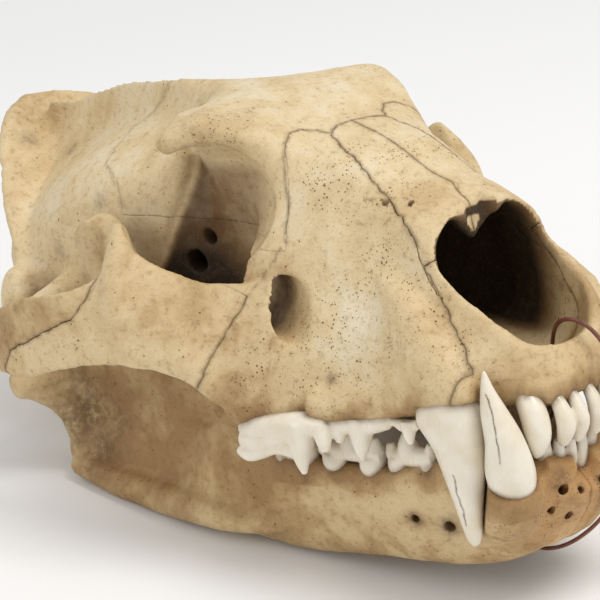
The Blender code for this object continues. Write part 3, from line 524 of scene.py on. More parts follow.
# %% The lower jaw
JAW = [
    ((8, 5, 54), (6, 11, 33), 6, 6),
    ((16, 9, 55), (7, 21, 22), 8, 8),
    ((25, 17, 56), (10, 35, 14), 9, 9),
    ((29, 31, 57), (18, 48, 10), 6, 9),
    ((34, 47, 56), (27, 60, 11), 6, 9),
    ((39, 62, 52), (34, 76, 12), 7, 8.5),
    ((42, 78, 50), (39, 92, 11), 7, 8),
    ((46, 96, 50), (43, 108, 10), 7, 8),
    ((51, 114, 53), (48, 124, 10), 7, 8),
    ((54, 132, 57), (53, 142, 12), 7, 8),
    ((57, 148, 58), (58, 160, 15), 6, 7),
    ((58, 170, 56), (60, 178, 19), 4, 6),
    ((61, 195, 54), (64, 200, 21), 4, 6),
    ((65, 220, 50), (68, 226, 24), 4, 6),
    ((68, 238, 46), (71, 246, 30), 5, 5.5),
]
RAMUS = [
    (128, 44), (148, 66), (169, 92), (189, 114), (204, 127), (212, 133), (219, 135), (226, 133),
    (230, 126), (222, 112), (216, 98), (222, 86), (237, 77), (247, 70), (245, 60), (243, 50),
    (244, 42), (240, 28), (212, 24), (173, 20), (128, 18),
]
JAW_FLANGE = [
    ((97, 242, 68), (72, 240, 66), 4, 5), ((90, 238, 62), (70, 236, 58), 3.5, 5),
    ((82, 237, 54), (69, 232, 50), 3.5, 5), ((76, 240, 44), (68, 230, 42), 4, 5),
    ((72, 243, 34), (68, 232, 34), 4.5, 5),
]


def ramus_place(y, z, across):
    return (50 + (y - 128) * 0.14 - max(z - 90, 0) * 0.10 + across, y, z)


JAW_RODS = [
    # the tip of the upright branch, its front edge, and the lower border towards the front
    ([(55, 203, 124), (55, 211, 131), (55, 220, 132), (56, 227, 127)], [3.2, 3.8, 3.8, 3.2]),
    ([(55, 138, 48), (57, 150, 66), (58, 168, 90), (56, 190, 113)], [6.5, 5.5, 4.5, 3.5]),
    ([(40, 92, 30), (46, 114, 28), (53, 138, 26), (60, 160, 24)], [8, 9, 9, 7]),
    # the joint's roller and the neck that carries it
    ([(60, 245, 67), (70, 243, 70), (84, 242, 70), (96, 242, 69)], [6, 7.5, 7.5, 5.5]),
    ([(67, 234, 44), (70, 239, 58), (76, 242, 68)], [6, 6.5, 6]),
    # the canine's root, the gum of the incisors, the chin, and the lower border towards the back
    ([(30.5, 12.5, 53), (29.5, 14.5, 48), (26.5, 19, 42), (22, 30, 34), (21, 44, 28)],
     [12, 13.2, 13.2, 11, 9]),
    ([(4, 9, 50), (10, 10.5, 51), (17, 12, 53)], [5.5, 6, 7]),
    ([(4, 7, 46), (4, 14, 38), (4, 26, 28), (4, 40, 21)], [6, 9, 11, 9]),
    ([(53, 116, 22), (60, 134, 20.5), (66, 160, 22), (71, 200, 25), (75, 236, 31)],
     [2.5, 5, 6.5, 6.5, 6]),
]


def jaw_bodies(side):
    bodies = [web(JAW, side, roundness=0.55), plate(RAMUS, 8.0, ramus_place, side), web(JAW_FLANGE, side)]
    return bodies + [rod(points, radii, side) for points, radii in JAW_RODS]


JAW_HOLES = [
    ([(48, 58, 32), (40, 58, 32), (34, 64, 31)], [2.2, 2.0, 1.6]),
    ([(42, 43.5, 30.5), (34, 46, 29.5), (27, 52, 29)], [3.2, 2.6, 1.8]),
    ([(15, -2, 48), (12, 10, 44), (11, 18, 42)], [2.2, 1.9, 1.0]),
    ([(6, -6, 45), (5.5, 4, 43), (5, 10, 42)], [1.7, 1.5, 0.9]),
    ([(10, -1, 34), (9, 9, 33.5), (8.5, 16, 33)], [1.9, 1.6, 1.0]),
    ([(18, 2, 39), (15.5, 13, 37.5), (15, 18, 37)], [1.3, 1.2, 0.8]),
]
CANINE_ROOM = 0.6
ROOM_STEPS, STEP_OUT, STEP_FORWARD = 8, 1.24, -1.56
jaws = {}
for word, side in SIDES.items():
    jaw = fuse(to_object("mandible_" + word, jaw_bodies(side)), BONE_VOXEL, 3)
    room = []
    for k in range(ROOM_STEPS):
        room.append(canine(UPPER_CANINE, side, CANINE_ROOM))
        bmesh.ops.translate(room[-1], verts=room[-1].verts, vec=(STEP_OUT * k * side, STEP_FORWARD * k, 0))
    cut(jaw, fuse(to_object("room", room), BONE_VOXEL, 1))
    cut(jaw, to_object("dish", [egg((78, 192, 62), (17, 39, 29), side, turn=(16, 0, -9))]))
    jaws[word] = fuse(jaw, BONE_VOXEL, 2)
    for number, (points, radii) in enumerate(JAW_HOLES):
        cut(jaw, to_object("hole_%d" % number, [rod(points, radii, side)]))
    print(jaw.name, len(jaw.data.polygons), "faces")

# %% [markdown]
# Bone is never as smooth as a loft. Every point is pushed a little along its normal by a few sizes
# of noise: slow undulations of half a millimetre, then finer grain. Crests and rough muscle edges
# get more, so the surface roughens where tendons held.

# %% Uneven bone
ROUGH_PLACES = [
    ((0, 349, 158), 30), ((45, 315, 135), 26), ((107, 210, 90), 26), ((98, 160, 95), 20),
    ((72, 242, 38), 22), ((14, 8, 34), 24), ((50, 160, 170), 15), ((36, 60, 84), 14),
]


def unevenness(p):
    size = 0.50 * noise.noise(p / 24) + 0.26 * noise.noise(p / 8.5) + 0.11 * noise.noise(p / 3.2)
    here = Vector((abs(p.x), p.y, p.z))
    rough = max(math.exp(-(((here - Vector(c)).length / r) ** 2)) for c, r in ROUGH_PLACES)
    chin = math.exp(-(((here - Vector((12, 6, 41))).length / 17) ** 2))
    size -= 2.2 * chin * max(0.0, noise.noise(p / 2.7 + Vector((3, 3, 3))) - 0.16)
    return size + rough * (0.55 * noise.noise(p / 5.0 + Vector((7, 1, 3))) + 0.25 * noise.noise(p / 2.2))


def points_of(obj):
    mesh = obj.data
    places, normals = np.empty(len(mesh.vertices) * 3), np.empty(len(mesh.vertices) * 3)
    mesh.vertices.foreach_get("co", places)
    mesh.vertex_normals.foreach_get("vector", normals)
    return places.reshape(-1, 3), normals.reshape(-1, 3)


def roughen(obj):
    places, normals = points_of(obj)
    shifts = np.array([unevenness(Vector(p)) for p in places])
    obj.data.vertices.foreach_set("co", (places + normals * shifts[:, None]).ravel())
    obj.data.update()


for bone in (upper_skull, *jaws.values()):
    roughen(bone)
    print("roughened", bone.name)

# %% [markdown]
# Dust and old grease settle where a cloth doesn't reach, and the same places lie in shade. How
# enclosed each place is, is measured by sending short rays out of a coarse copy of the bone: the more
# of them that hit bone again, the darker and browner that place will be painted, as grime and as
# painted shade.

# %% How enclosed each place is
GOLDEN_ANGLE = 2.39996


def enclosure(bone, voxel, rays, reach):
    coarse = bpy.data.objects.new("coarse", bone.data.copy())
    bpy.context.scene.collection.objects.link(coarse)
    fuse(coarse, voxel, 1)
    places, normals = points_of(coarse)
    bm = bmesh.new()
    bm.from_mesh(coarse.data)
    tree = BVHTree.FromBMesh(bm)
    bm.free()
    turns = []
    for k in range(rays):
        level = (k + 0.5) / rays * 2 - 1
        width, angle = math.sqrt(1 - level**2), GOLDEN_ANGLE * k
        turns.append(Vector((width * math.cos(angle), width * math.sin(angle), level)))
    found = KDTree(len(places))
    grime_and_shade = np.zeros(len(places))
    for i, (p, n) in enumerate(zip(places, normals)):
        p, n = Vector(p), Vector(n)
        start, total, hits = p + n * 1.5, 0.0, 0.0
        for way in turns:
            weight = way.dot(n)
            if weight > 0.15:
                total += weight
                if tree.ray_cast(start, way, reach)[0] is not None:
                    hits += weight
        grime_and_shade[i] = hits / total
        found.insert(p, i)
    found.balance()
    bpy.data.objects.remove(coarse)
    return found, grime_and_shade


RAYS = 44
grime_and_shade_in = {"upper": enclosure(upper_skull, 4.0, RAYS, 45.0)}
for word, jaw in jaws.items():
    grime_and_shade_in[word] = enclosure(jaw, 4.0, RAYS, 30.0)
print("enclosure measured at", len(grime_and_shade_in["upper"][1]), "places")

# %% [markdown]
# The bones of a skull meet at sutures. Each bone is cut out of the fused skull by a prism with a
# wandering outline, made by subdividing a plain outline and pushing the new points about, and a
# hair's breadth is left between neighbours, as on a dried skull.

# %% The sutures
SEAM_GAP = 0.34
ZYGOMATIC_SIDE = [
    (110, 132), (114, 122), (116, 114), (119, 105), (121, 98), (123, 88), (132, 77), (136, 55), (222, 55),
    (218, 86), (211, 95), (186, 106), (174, 111), (169, 118), (167, 125), (172, 152), (140, 152),
]
PREMAXILLA_SIDE = [
    (-10, 60), (24, 60), (23, 84), (21, 94), (26, 103), (39, 117), (49, 128), (40, 132), (30, 130), (-10,
        124),
]
NASAL_TOP = [
    (0, 20), (34, 20), (31, 38), (28, 49), (26, 57), (21, 73), (20, 84), (18, 97), (14, 112), (8, 116), (0,
        117),
]
FRONTAL_TOP = [
    (0, 116), (8, 115.5), (14, 113), (21, 122), (27, 121), (33, 117), (38, 112), (46, 108), (67, 108), (67,
        190),
    (46, 212), (33, 245), (21, 252), (9, 256), (0, 233),
]
FRONTAL_TOP += [(-x, y) for x, y in FRONTAL_TOP[-2:0:-1]]


def grown(outline, by):
    n = len(outline)
    area = sum(outline[i - 1][0] * outline[i][1] - outline[i][0] * outline[i - 1][1] for i in range(n))
    turn = 1 if area > 0 else -1
    out = []
    for i in range(n):
        a, b, c = (Vector(outline[(i + k) % n]) for k in (-1, 0, 1))
        d_1, d_2 = (b - a).normalized(), (c - b).normalized()
        n_1, n_2 = (Vector((d.y, -d.x)) * turn for d in (d_1, d_2))
        out.append(tuple(b + (n_1 + n_2) * by / (1 + n_1.dot(n_2))))
    return out


def wandering(outline, every=2.2, by=0.5):
    out = []
    for i, a in enumerate(outline):
        a, b = Vector(a), Vector(outline[(i + 1) % len(outline)])
        parts = max(1, round((b - a).length / every)) if (b - a).length < 45 else 1
        across = Vector((a.y - b.y, b.x - a.x)).normalized()
        for k in range(parts):
            p = a + (b - a) * (k / parts)
            shift = noise.noise(Vector((p.x / 3.1, p.y / 3.1, 5.0))) * by * 2 if k else 0.0
            out.append(tuple(p + across * shift))
    return out


def prism(outline, place):
    bm = bmesh.new()
    face = bm.faces.new([bm.verts.new((*p, 0)) for p in outline])
    far = bmesh.ops.extrude_face_region(bm, geom=[face])["geom"]
    bmesh.ops.translate(bm, verts=[g for g in far if isinstance(g, bmesh.types.BMVert)], vec=(0, 0, 1))
    bmesh.ops.triangulate(bm, faces=bm.faces)
    for vert in bm.verts:
        vert.co = Vector(place(vert.co.xy, vert.co.z))
    return facing_out(bm)


def largest_shell(obj):
    bm = bmesh.new()
    bm.from_mesh(obj.data)
    left, shells = set(bm.verts), []
    while left:
        heap = [left.pop()]
        shell = set(heap)
        while heap:
            for edge in heap.pop().link_edges:
                for vert in edge.verts:
                    if vert in left:
                        left.discard(vert)
                        shell.add(vert)
                        heap.append(vert)
        shells.append(shell)
    keep = max(shells, key=len)
    bmesh.ops.delete(bm, geom=[v for v in bm.verts if v not in keep], context="VERTS")
    bm.to_mesh(obj.data)
    bm.free()
    return obj


def part_off(rest, name, region, gap=SEAM_GAP):
    piece = bpy.data.objects.new(name, rest.data.copy())
    bpy.context.scene.collection.objects.link(piece)
    cut(piece, to_object("region", [region(-gap / 2)]), "INTERSECT")
    cut(rest, to_object("region", [region(gap / 2)]), "DIFFERENCE")
    return largest_shell(piece)


wavy = {
    "zygomatic": wandering(ZYGOMATIC_SIDE), "premaxilla": wandering(PREMAXILLA_SIDE),
    "nasal": wandering(NASAL_TOP), "frontal": wandering(FRONTAL_TOP, by=0.9),
}
bones = {}
for word, side in SIDES.items():
    bones["zygomatic_" + word] = part_off(upper_skull, "zygomatic_" + word, lambda by: prism(
        grown(wavy["zygomatic"], by),
        lambda p, t: ((140 if t else 60 + 0.13 * (p[0] - 110) - by) * side, p[0], p[1])))
bones["premaxilla"] = part_off(upper_skull, "premaxilla", lambda by: prism(
    grown(wavy["premaxilla"], by), lambda p, t: (120 * t - 60, p[0], p[1])))
for word, side in SIDES.items():
    bones["nasal_" + word] = part_off(upper_skull, "nasal_" + word, lambda by: prism(
        grown(wavy["nasal"], by),
        lambda p, t: (p[0] * side, p[1], 220 if t else 116 - by + max(p[1] - 35, 0) * 0.42)))
bones["frontal"] = part_off(upper_skull, "frontal", lambda by: prism(
    grown(wavy["frontal"], by), lambda p, t: (p[0], p[1], 220 if t else 131 - by)), 0.08)
for word, side in SIDES.items():
    bones["maxilla_" + word] = part_off(upper_skull, "maxilla_" + word, lambda by: prism(
        grown([(0, -20), (0, 139), (110, 139), (110, -20)], by),
        lambda p, t: (p[0] * side, p[1], 220 if t else 30)))
upper_skull.name = "braincase"
bones["braincase"] = largest_shell(upper_skull)
for word, side in SIDES.items():
    half = prism(
        [(SEAM_GAP / 2, -60), (SEAM_GAP / 2, 400), (200, 400), (200, -60)],
        lambda p, t: (p[0] * side, p[1], 300 * t - 60))
    bones["mandible_" + word] = largest_shell(cut(jaws[word], to_object("half", [half]), "INTERSECT"))
for name, bone in bones.items():
    print(name, len(bone.data.polygons), "faces")

# %% [markdown]
# A cheek tooth starts as a swollen bar along the gum, and its cusps rise out of that bar as short
# cones. Fused and smoothed, they flow into each other as enamel does. Each entry is one such rod:
# its points, then its radii.

# %% Cheek teeth
UPPER_CHEEK = [
    # second premolar: bar, cusp
    ([(43.4, 44.5, 73), (44.6, 50, 71.5), (45.6, 56, 73)], [1.8, 2.6, 1.8]),
    ([(44.8, 48.5, 74), (45.4, 48.2, 69), (46, 47.4, 65.4)], [3.0, 2.4, 0.9]),
    # third premolar: bar, main cusp, hind cusp, heel, front cusp
    ([(45.6, 56, 74), (48, 62, 72), (51, 70, 71.5), (54, 78, 71), (56.6, 84, 71.5)],
     [2.4, 3.8, 4.6, 4.2, 2.8]),
    ([(50.4, 69.5, 73), (51.6, 69, 67), (52.8, 68.4, 61.5), (53.2, 68, 57.4)], [5.4, 4.6, 2.7, 0.9]),
    ([(54, 77.5, 72), (55.2, 77.3, 67.5), (55.8, 77, 63.6)], [4.0, 3.2, 1.4]),
    ([(56.4, 83, 72), (57, 82.6, 68), (57.4, 82.4, 65.6)], [3.0, 2.4, 1.3]),
    ([(47.2, 59, 73), (47.8, 58.4, 69.5)], [2.8, 1.4]),
    # carnassial: bar, front cusp, main cusp, cutting blade, its lower roll
    ([(59.5, 79, 71), (61.5, 86, 71), (65, 96, 70), (68, 106, 69), (70.5, 117, 67.5)],
     [3.0, 4.8, 5.2, 4.8, 3.6]),
    ([(60, 81.5, 71), (61, 80, 66), (61.6, 78.8, 61.4)], [3.8, 3.2, 1.7]),
    ([(62.4, 90.5, 71), (63.8, 90.5, 63.5), (64.8, 90, 57), (65, 89.4, 51.6)], [6.2, 5.0, 3.0, 1.0]),
    ([(65.4, 94, 68), (67.6, 101, 65), (69.8, 109, 63), (71.2, 117, 63)], [4.6, 3.9, 3.8, 3.4]),
    ([(65.6, 93, 60), (68.4, 100, 61), (70.6, 107, 58.8), (71.8, 113.5, 57.2), (72.2, 118.5, 58.6)],
     [2.6, 2.3, 2.5, 2.8, 2.4]),
]
LOWER_CHEEK = [
    # third premolar: bar, root swellings, main cusp, front cusp, hind cusp
    ([(34.6, 49, 56), (36.6, 58, 55.5), (39, 69, 55)], [3.0, 4.2, 3.0]),
    ([(33.6, 52, 48.5), (34.6, 52, 52), (35, 52, 56)], [2.4, 4.2, 3.8]),
    ([(36.6, 65.5, 46.5), (37.8, 65.5, 50.5), (38, 65, 55)], [2.6, 4.8, 4.4]),
    ([(36.8, 60.5, 56), (37.6, 60.2, 61), (38, 60, 65.4)], [4.8, 3.6, 1.2]),
    ([(34.8, 51, 56), (35, 50.2, 61.4)], [3.2, 1.4]),
    ([(39, 67.6, 56), (39.4, 68, 60.2)], [3.2, 1.5]),
    # fourth premolar
    ([(40.6, 72, 55), (44, 85, 55.5), (47.6, 100, 55)], [3.2, 4.6, 3.2]),
    ([(40.4, 77, 45.5), (41.8, 77, 49.5), (42, 77, 54)], [2.6, 5.2, 4.8]),
    ([(44.4, 94.5, 45.5), (45.8, 94.5, 49.5), (46.2, 94.5, 54)], [2.6, 5.2, 4.8]),
    ([(44, 85.5, 56), (44.8, 85.2, 62), (45.4, 84.8, 67.6)], [5.2, 4.0, 1.3]),
    ([(41.6, 75, 56), (42, 74.2, 62)], [3.8, 1.5]),
    ([(47, 96.5, 56), (47.4, 97, 61.6)], [3.8, 1.6]),
    # carnassial
    ([(48.8, 104, 53), (51, 112, 52.5), (54, 122, 53)], [3.6, 4.8, 3.4]),
    ([(49.4, 106.6, 38), (49.4, 106.6, 54), (50, 106.4, 65)], [3.4, 4.6, 1.4]),
    ([(52.6, 117.6, 38), (52.6, 117.6, 54), (53, 118.4, 65)], [3.2, 4.4, 1.4]),
]
print("rods for the cheek teeth:", len(UPPER_CHEEK), "above and", len(LOWER_CHEEK), "below")

# %% [markdown]
# Incisors are round, so each is one rod from the gum to its edge. They are fused with the cheek
# teeth of the same jaw, and the four canines, which were drawn with the hollows, stay pieces of
# their own: the lower one closes in front of the upper.

# %% Incisors and canines
UPPER_INCISORS = [
    ([(3.8, 13, 88), (3.9, 7, 82), (4, 3.0, 77), (4, 1.0, 70.5), (4, 3.2, 64), (4, 4.6, 61.5)],
     [1.4, 1.9, 2.5, 3.2, 2.3, 0.9]),
    ([(10.6, 15, 90), (10.9, 8.5, 83), (11, 3.8, 77.5), (11, 1.4, 70.8), (11, 3.6, 64.5), (11, 5, 62)],
     [1.6, 2.1, 2.9, 3.6, 2.6, 1.0]),
    ([(18.4, 20, 92), (19.2, 14.5, 85), (19.8, 9, 78), (20.2, 6.6, 70), (20.2, 7.4, 63.8),
      (20.2, 9.2, 59.6)],
     [2.4, 3.8, 5.0, 5.0, 3.6, 1.1]),
]
LOWER_INCISORS = [
    ([(2.6, 14, 44), (2.7, 10.5, 53), (2.8, 9, 61.5)], [1.6, 2.4, 1.6]),
    ([(7.4, 15, 44), (7.9, 11.5, 53), (8.2, 9.5, 62.5)], [1.8, 2.8, 1.8]),
    ([(13.0, 16, 45), (13.8, 12.5, 54), (14.6, 10, 64.5)], [2.0, 3.3, 2.0]),
]
TOOTH_VOXEL = 0.5


def tooth_row(name, cheek, incisors):
    bodies = []
    for side in SIDES.values():
        for points, radii in cheek + incisors:
            bodies.append(rod(points, radii, side, around=28, steps=8))
    return fuse(to_object(name, bodies), TOOTH_VOXEL, 4)


teeth = {
    "upper_teeth": tooth_row("upper_teeth", UPPER_CHEEK, UPPER_INCISORS),
    "lower_teeth": tooth_row("lower_teeth", LOWER_CHEEK, LOWER_INCISORS),
}
for word, side in SIDES.items():
    for row, shape in (("upper", UPPER_CANINE), ("lower", LOWER_CANINE)):
        fang = to_object("%s_fang_%s" % (row, word), [canine(shape, side)])
        teeth["%s_canine_%s" % (row, word)] = fuse(fang, TOOTH_VOXEL, 2)
for name, tooth in teeth.items():
    print(name, len(tooth.data.polygons), "faces")

# %% [markdown]
# Colour on bone follows its story, so it is kept as point colours that the finish reads: red is how
# enclosed a place is, painted as grime and as shade, green is old brown staining and painted shade
# inside the chin's nerve holes, blue is where the bone is porous and alpha is its tone, from browned
# (0) to bleached (1). Stains sit along the sutures and the gum line, and in spots of their own.

# %% Stains, wear and painted shade, on the points
SPOTS = [
    # place, reach in mm, strength; the last six sit inside the chin's nerve holes and are painted shade
    # there
    ((53, 81, 87), 2.4, 0.6), ((68, 207, 61), 4, 0.5), ((14, 4, 50), 5, 0.7),
    ((12, 307, 143), 4, 0.5), ((20, 326, 148), 5, 0.5), ((52, 262, 113), 4, 0.4), ((44, 236, 136), 4, 0.4),
    ((8, 6, 38), 9, 0.35), ((50, 112, 120), 5, 0.35), ((71, 232, 52), 17, 0.72), ((70, 221, 38), 12, 0.66),
    ((66, 236, 64), 11, 0.55), ((68, 214, 50), 9, 0.5), ((40, 58, 32), 3.4, 1.0), ((34, 46, 29.5), 4.2,
        1.0), ((12, 9, 44), 2.6, 0.9),
    ((5, 5, 43), 2.4, 0.9), ((9, 9, 33.5), 2.6, 0.9), ((15.3, 14, 37.3), 2.0, 0.9),
]
PORED = [((50, 80, 100), 30), ((38, 62, 114), 26), ((60, 104, 84), 20), ((44, 146, 174), 15),
         ((30, 20, 40), 16),
         ((14, 12, 38), 20), ((30, 30, 92), 18), ((16, 90, 150), 26), ((96, 180, 92), 16)]
TONES = [
    # place, reach in mm, paler (+) or browner (-); the entry at the temple, (40, 262, 132), is painted
    # light that lifts the painted enclosed shade there
    ((46, 74, 104), 24, 0.45), ((10, 140, 178), 45, 0.20), ((4, 80, 158), 40, 0.15), ((0, 200, 182), 45,
        0.15),
    ((62, 190, 50), 40, -0.30), ((56, 140, 30), 34, -0.10), ((16, 8, 88), 22, -0.18), ((40, 262, 132), 55,
        0.28),
    ((52, 120, 72), 20, -0.20), ((100, 190, 90), 26, -0.10), ((30, 320, 110), 40, 0.10), ((90, 160, 96), 26,
        0.15),
    ((64, 110, 84), 14, -0.20), ((42, 42, 79), 12, -0.30), ((20, 12, 34), 22, -0.10), ((24, 15, 78), 10,
        -0.25),
]
JAW_TONE, CASE_TONE = -0.17, 0.01
SEAMS = {
    "side": [np.array(wavy[k]) for k in ("zygomatic", "premaxilla")],
    "top": [np.array(wavy[k]) for k in ("nasal", "frontal")],
}


def near_line(points, outline):
    a, b = outline, np.roll(outline, -1, axis=0)
    best = np.full(len(points), 1e9)
    for p, q in zip(a, b):
        d = q - p
        t = np.clip(((points - p) @ d) / max(d @ d, 1e-9), 0, 1)
        best = np.minimum(best, np.linalg.norm(points - p - t[:, None] * d, axis=1))
    return best


def near_places(points, rows):
    here = np.column_stack([np.abs(points[:, 0]), points[:, 1:]])
    out = np.zeros(len(points))
    for row in rows:
        far = np.linalg.norm(here - np.array(row[0]), axis=1) / row[1]
        out = np.maximum(out, np.exp(-far**2) * (row[2] if len(row) > 2 else 1.0))
    return out


def tones(points, base):
    here = np.column_stack([np.abs(points[:, 0]), points[:, 1:]])
    out = np.full(len(points), 0.5 + base)
    if base == CASE_TONE:
        out -= 0.35 * np.exp(-((np.linalg.norm(here - (107, 205, 102), axis=1) / 32) ** 2))
    for centre, reach, tone in TONES:
        out += tone * np.exp(-((np.linalg.norm(here - np.array(centre), axis=1) / reach) ** 2))
    return out


def put_colours(obj, channels):
    layer = obj.data.color_attributes.new("wear_and_shade", "FLOAT_COLOR", "POINT")
    layer.data.foreach_set("color", np.clip(np.column_stack(channels), 0, 1).astype(np.float32).ravel())


def grime_and_shade_at(points, found, grime_and_shade):
    out = np.empty(len(points))
    for i, p in enumerate(points):
        near = found.find_n(p, 4)
        weights = [1 / (d + 0.5) for _, _, d in near]
        out[i] = sum(w * grime_and_shade[k] for w, (_, k, _) in zip(weights, near)) / sum(weights)
    return out


def step(values, low, high):
    part = np.clip((values - low) / (high - low), 0, 1)
    return part * part * (3 - 2 * part)


# Painted shade: the inward faces of the nose passage are set to fully enclosed, which paints them near
# black, and the orbit's inside is darkened as shade and stain.
def with_painted_hollow_shade(points, normals, grime_and_shade):
    x, y, z = np.abs(points[:, 0]), points[:, 1], points[:, 2]
    faces_in = points[:, 0] * normals[:, 0] + (z - 112) * normals[:, 2] < 0
    inward = np.where(faces_in | ((normals[:, 1] < -0.3) & (y > 62) & (x < 26)), 1.0, 0.0)
    nose_painted_shade = inward * step(y, 22, 58) * step(160 - y, 0, 6) * step(38 - x, 0, 3) * step(z, 84,
        92) * step(152 - z, 0, 6)
    ridge = 180 + (162 - z) * 0.58
    orbit_shade_and_stain = step(ridge - y, 0, 7) * step(y, 122, 150) * step(z, 92, 100) * step(166 - z, 0,
        14) * step(50 - x, 0, 12)
    hollow_grime_and_shade = np.maximum(grime_and_shade,
                        0.62 * orbit_shade_and_stain + 0.24 * orbit_shade_and_stain * step(128 - z, 0, 26) + 0.20 * orbit_shade_and_stain * step(y, 160,
                            184))
    hollow_grime_and_shade = np.maximum(hollow_grime_and_shade, nose_painted_shade)
    # The nerve canal below the eye gets less of that painted shade, so its inside reads as lit.
    canal = step(y, 84, 94) * step(118 - y, 0, 8) * step(x, 42, 46) * step(z, 96, 100) * step(130 - z, 0, 4)
    return hollow_grime_and_shade * (1 - 0.42 * canal)


def gum_line(points):
    far = np.full(len(points), 99.0)
    near_teeth = (points[:, 1] < 126) & (points[:, 2] > 40) & (points[:, 2] < 104)
    for i in np.flatnonzero(near_teeth):
        found = tooth_surface.find_nearest(Vector(points[i]), 16)
        far[i] = found[3] if found[0] else 99.0
    return far


def weather(obj, measured, seamed, base):
    """Paint one bone: seamed is for the upper skull's bones, base shifts the tone of a whole bone."""
    points, normals = points_of(obj)
    gum = gum_line(points)
    ragged = 1 + 0.5 * np.sin(points[:, 1] / 3.1 + 2 * np.sin(points[:, 2] / 4.3))
    # Stains, and through the spots also painted shade inside the chin's nerve holes.
    stain_and_hole_shade = np.maximum(near_places(points, SPOTS), 0.42 * ragged * np.exp(-((gum / 1.5) ** 2)))
    if seamed:
        for outline in SEAMS["side"]:
            reach = near_line(points[:, 1:], outline)
            stain_and_hole_shade = np.maximum(stain_and_hole_shade, np.where(points[:, 2] < 132, 0.6 * np.exp(-((reach / 0.7) ** 2)), 0))
        flat = np.column_stack([np.abs(points[:, 0]), points[:, 1]])
        for outline in SEAMS["top"]:
            reach = near_line(flat, outline)
            strength = 0.30 + 0.35 * step(150 - points[:, 1], 0, 20)
            stain_and_hole_shade = np.maximum(stain_and_hole_shade,
                               np.where(points[:, 2] > 134, strength * np.exp(-((reach / 0.7) ** 2)), 0))
    # Painted shade and grime from how enclosed each place is; on the upper skull also the painted shade of
    # the nose passage and the orbit.
    grime_and_shade = with_painted_hollow_shade(points, normals, grime_and_shade_at(points, *measured)) if seamed else grime_and_shade_at(points, *measured)
    browned = tones(points, base) - 0.34 * ragged * np.exp(-((gum / 5.5) ** 2))
    put_colours(obj, (grime_and_shade, stain_and_hole_shade, near_places(points, PORED), browned))


whole_set = bmesh.new()
for tooth in teeth.values():
    whole_set.from_mesh(tooth.data)
tooth_surface = BVHTree.FromBMesh(whole_set)
whole_set.free()
for name, bone in bones.items():
    if name.startswith("mandible"):
        weather(bone, grime_and_shade_in[name.split("_")[1]], False, JAW_TONE)
    else:
        weather(bone, grime_and_shade_in["upper"], True, CASE_TONE if name == "braincase" else 0.0)
print("painted", len(bones), "bones")

# %% [markdown]
# On a tooth, the stain gathers at the neck, where it leaves the bone, and fine dark cracks run the
# length of the canines. The distance to the bone decides the first; the cracks follow drawn lines.

# %% Stained necks and cracked canines
CRACKS = {
    "upper": [([(-40.9, 32, 57), (-40.2, 31.8, 51), (-39.3, 31.5, 44), (-38.6, 31.2, 39),
                (-38.4, 31, 35.5)], 0.26)],
    "lower": [([(-39.2, 9.4, 88), (-38.6, 8.8, 82), (-37.8, 8.4, 75), (-37.2, 9, 68), (-37, 9.6, 64)],
               0.26)],
}


def tooth_seen(p):
    return (p[0] * 0.78 + p[1] * -0.62, 0.0, p[2] if p[0] < 0 else p[2] + 500)


def near_path(points, path):
    best = np.full(len(points), 1e9)
    for p, q in zip(path, path[1:]):
        p, q = np.array(p), np.array(q)
        t = np.clip(((points - p) @ (q - p)) / ((q - p) @ (q - p)), 0, 1)
        best = np.minimum(best, np.linalg.norm(points - p - t[:, None] * (q - p), axis=1))
    return best


whole_bone = bmesh.new()
for bone in bones.values():
    whole_bone.from_mesh(bone.data)
bone_surface = BVHTree.FromBMesh(whole_bone)
whole_bone.free()
for name, tooth in teeth.items():
    points, normals = points_of(tooth)
    neck = np.array([math.exp(-(((bone_surface.find_nearest(p)[3]) / 1.3) ** 2)) for p in points])
    here = np.column_stack([np.abs(points[:, 0]), points[:, 1:]])
    crack = np.zeros(len(points))
    if "canine" in name:
        for path, width in CRACKS[name.split("_")[0]]:
            seen = np.array([tuple(tooth_seen(p)) for p in path])
            here = np.array([tuple(tooth_seen(p)) for p in points])
            here[:, 0] += np.array([noise.noise(Vector(p) / 3.0) for p in points]) * 0.6
            crack = np.maximum(crack, np.exp(-((near_path(here, seen) / width) ** 2)))
    put_colours(tooth, (np.zeros(len(points)), neck, crack, np.zeros(len(points))))
print("stained", len(teeth), "sets of teeth")

# %% [markdown]
# ## The finishes
# Old bone is a warm cream that wanders between butter and biscuit, brown where it is stained, brown
# to near black where it is enclosed, as grime and painted shade, pale where it is bleached, with dark
# pores and fine grain. All of it is procedural, in millimetre-sized noises of the object's own
# coordinates.

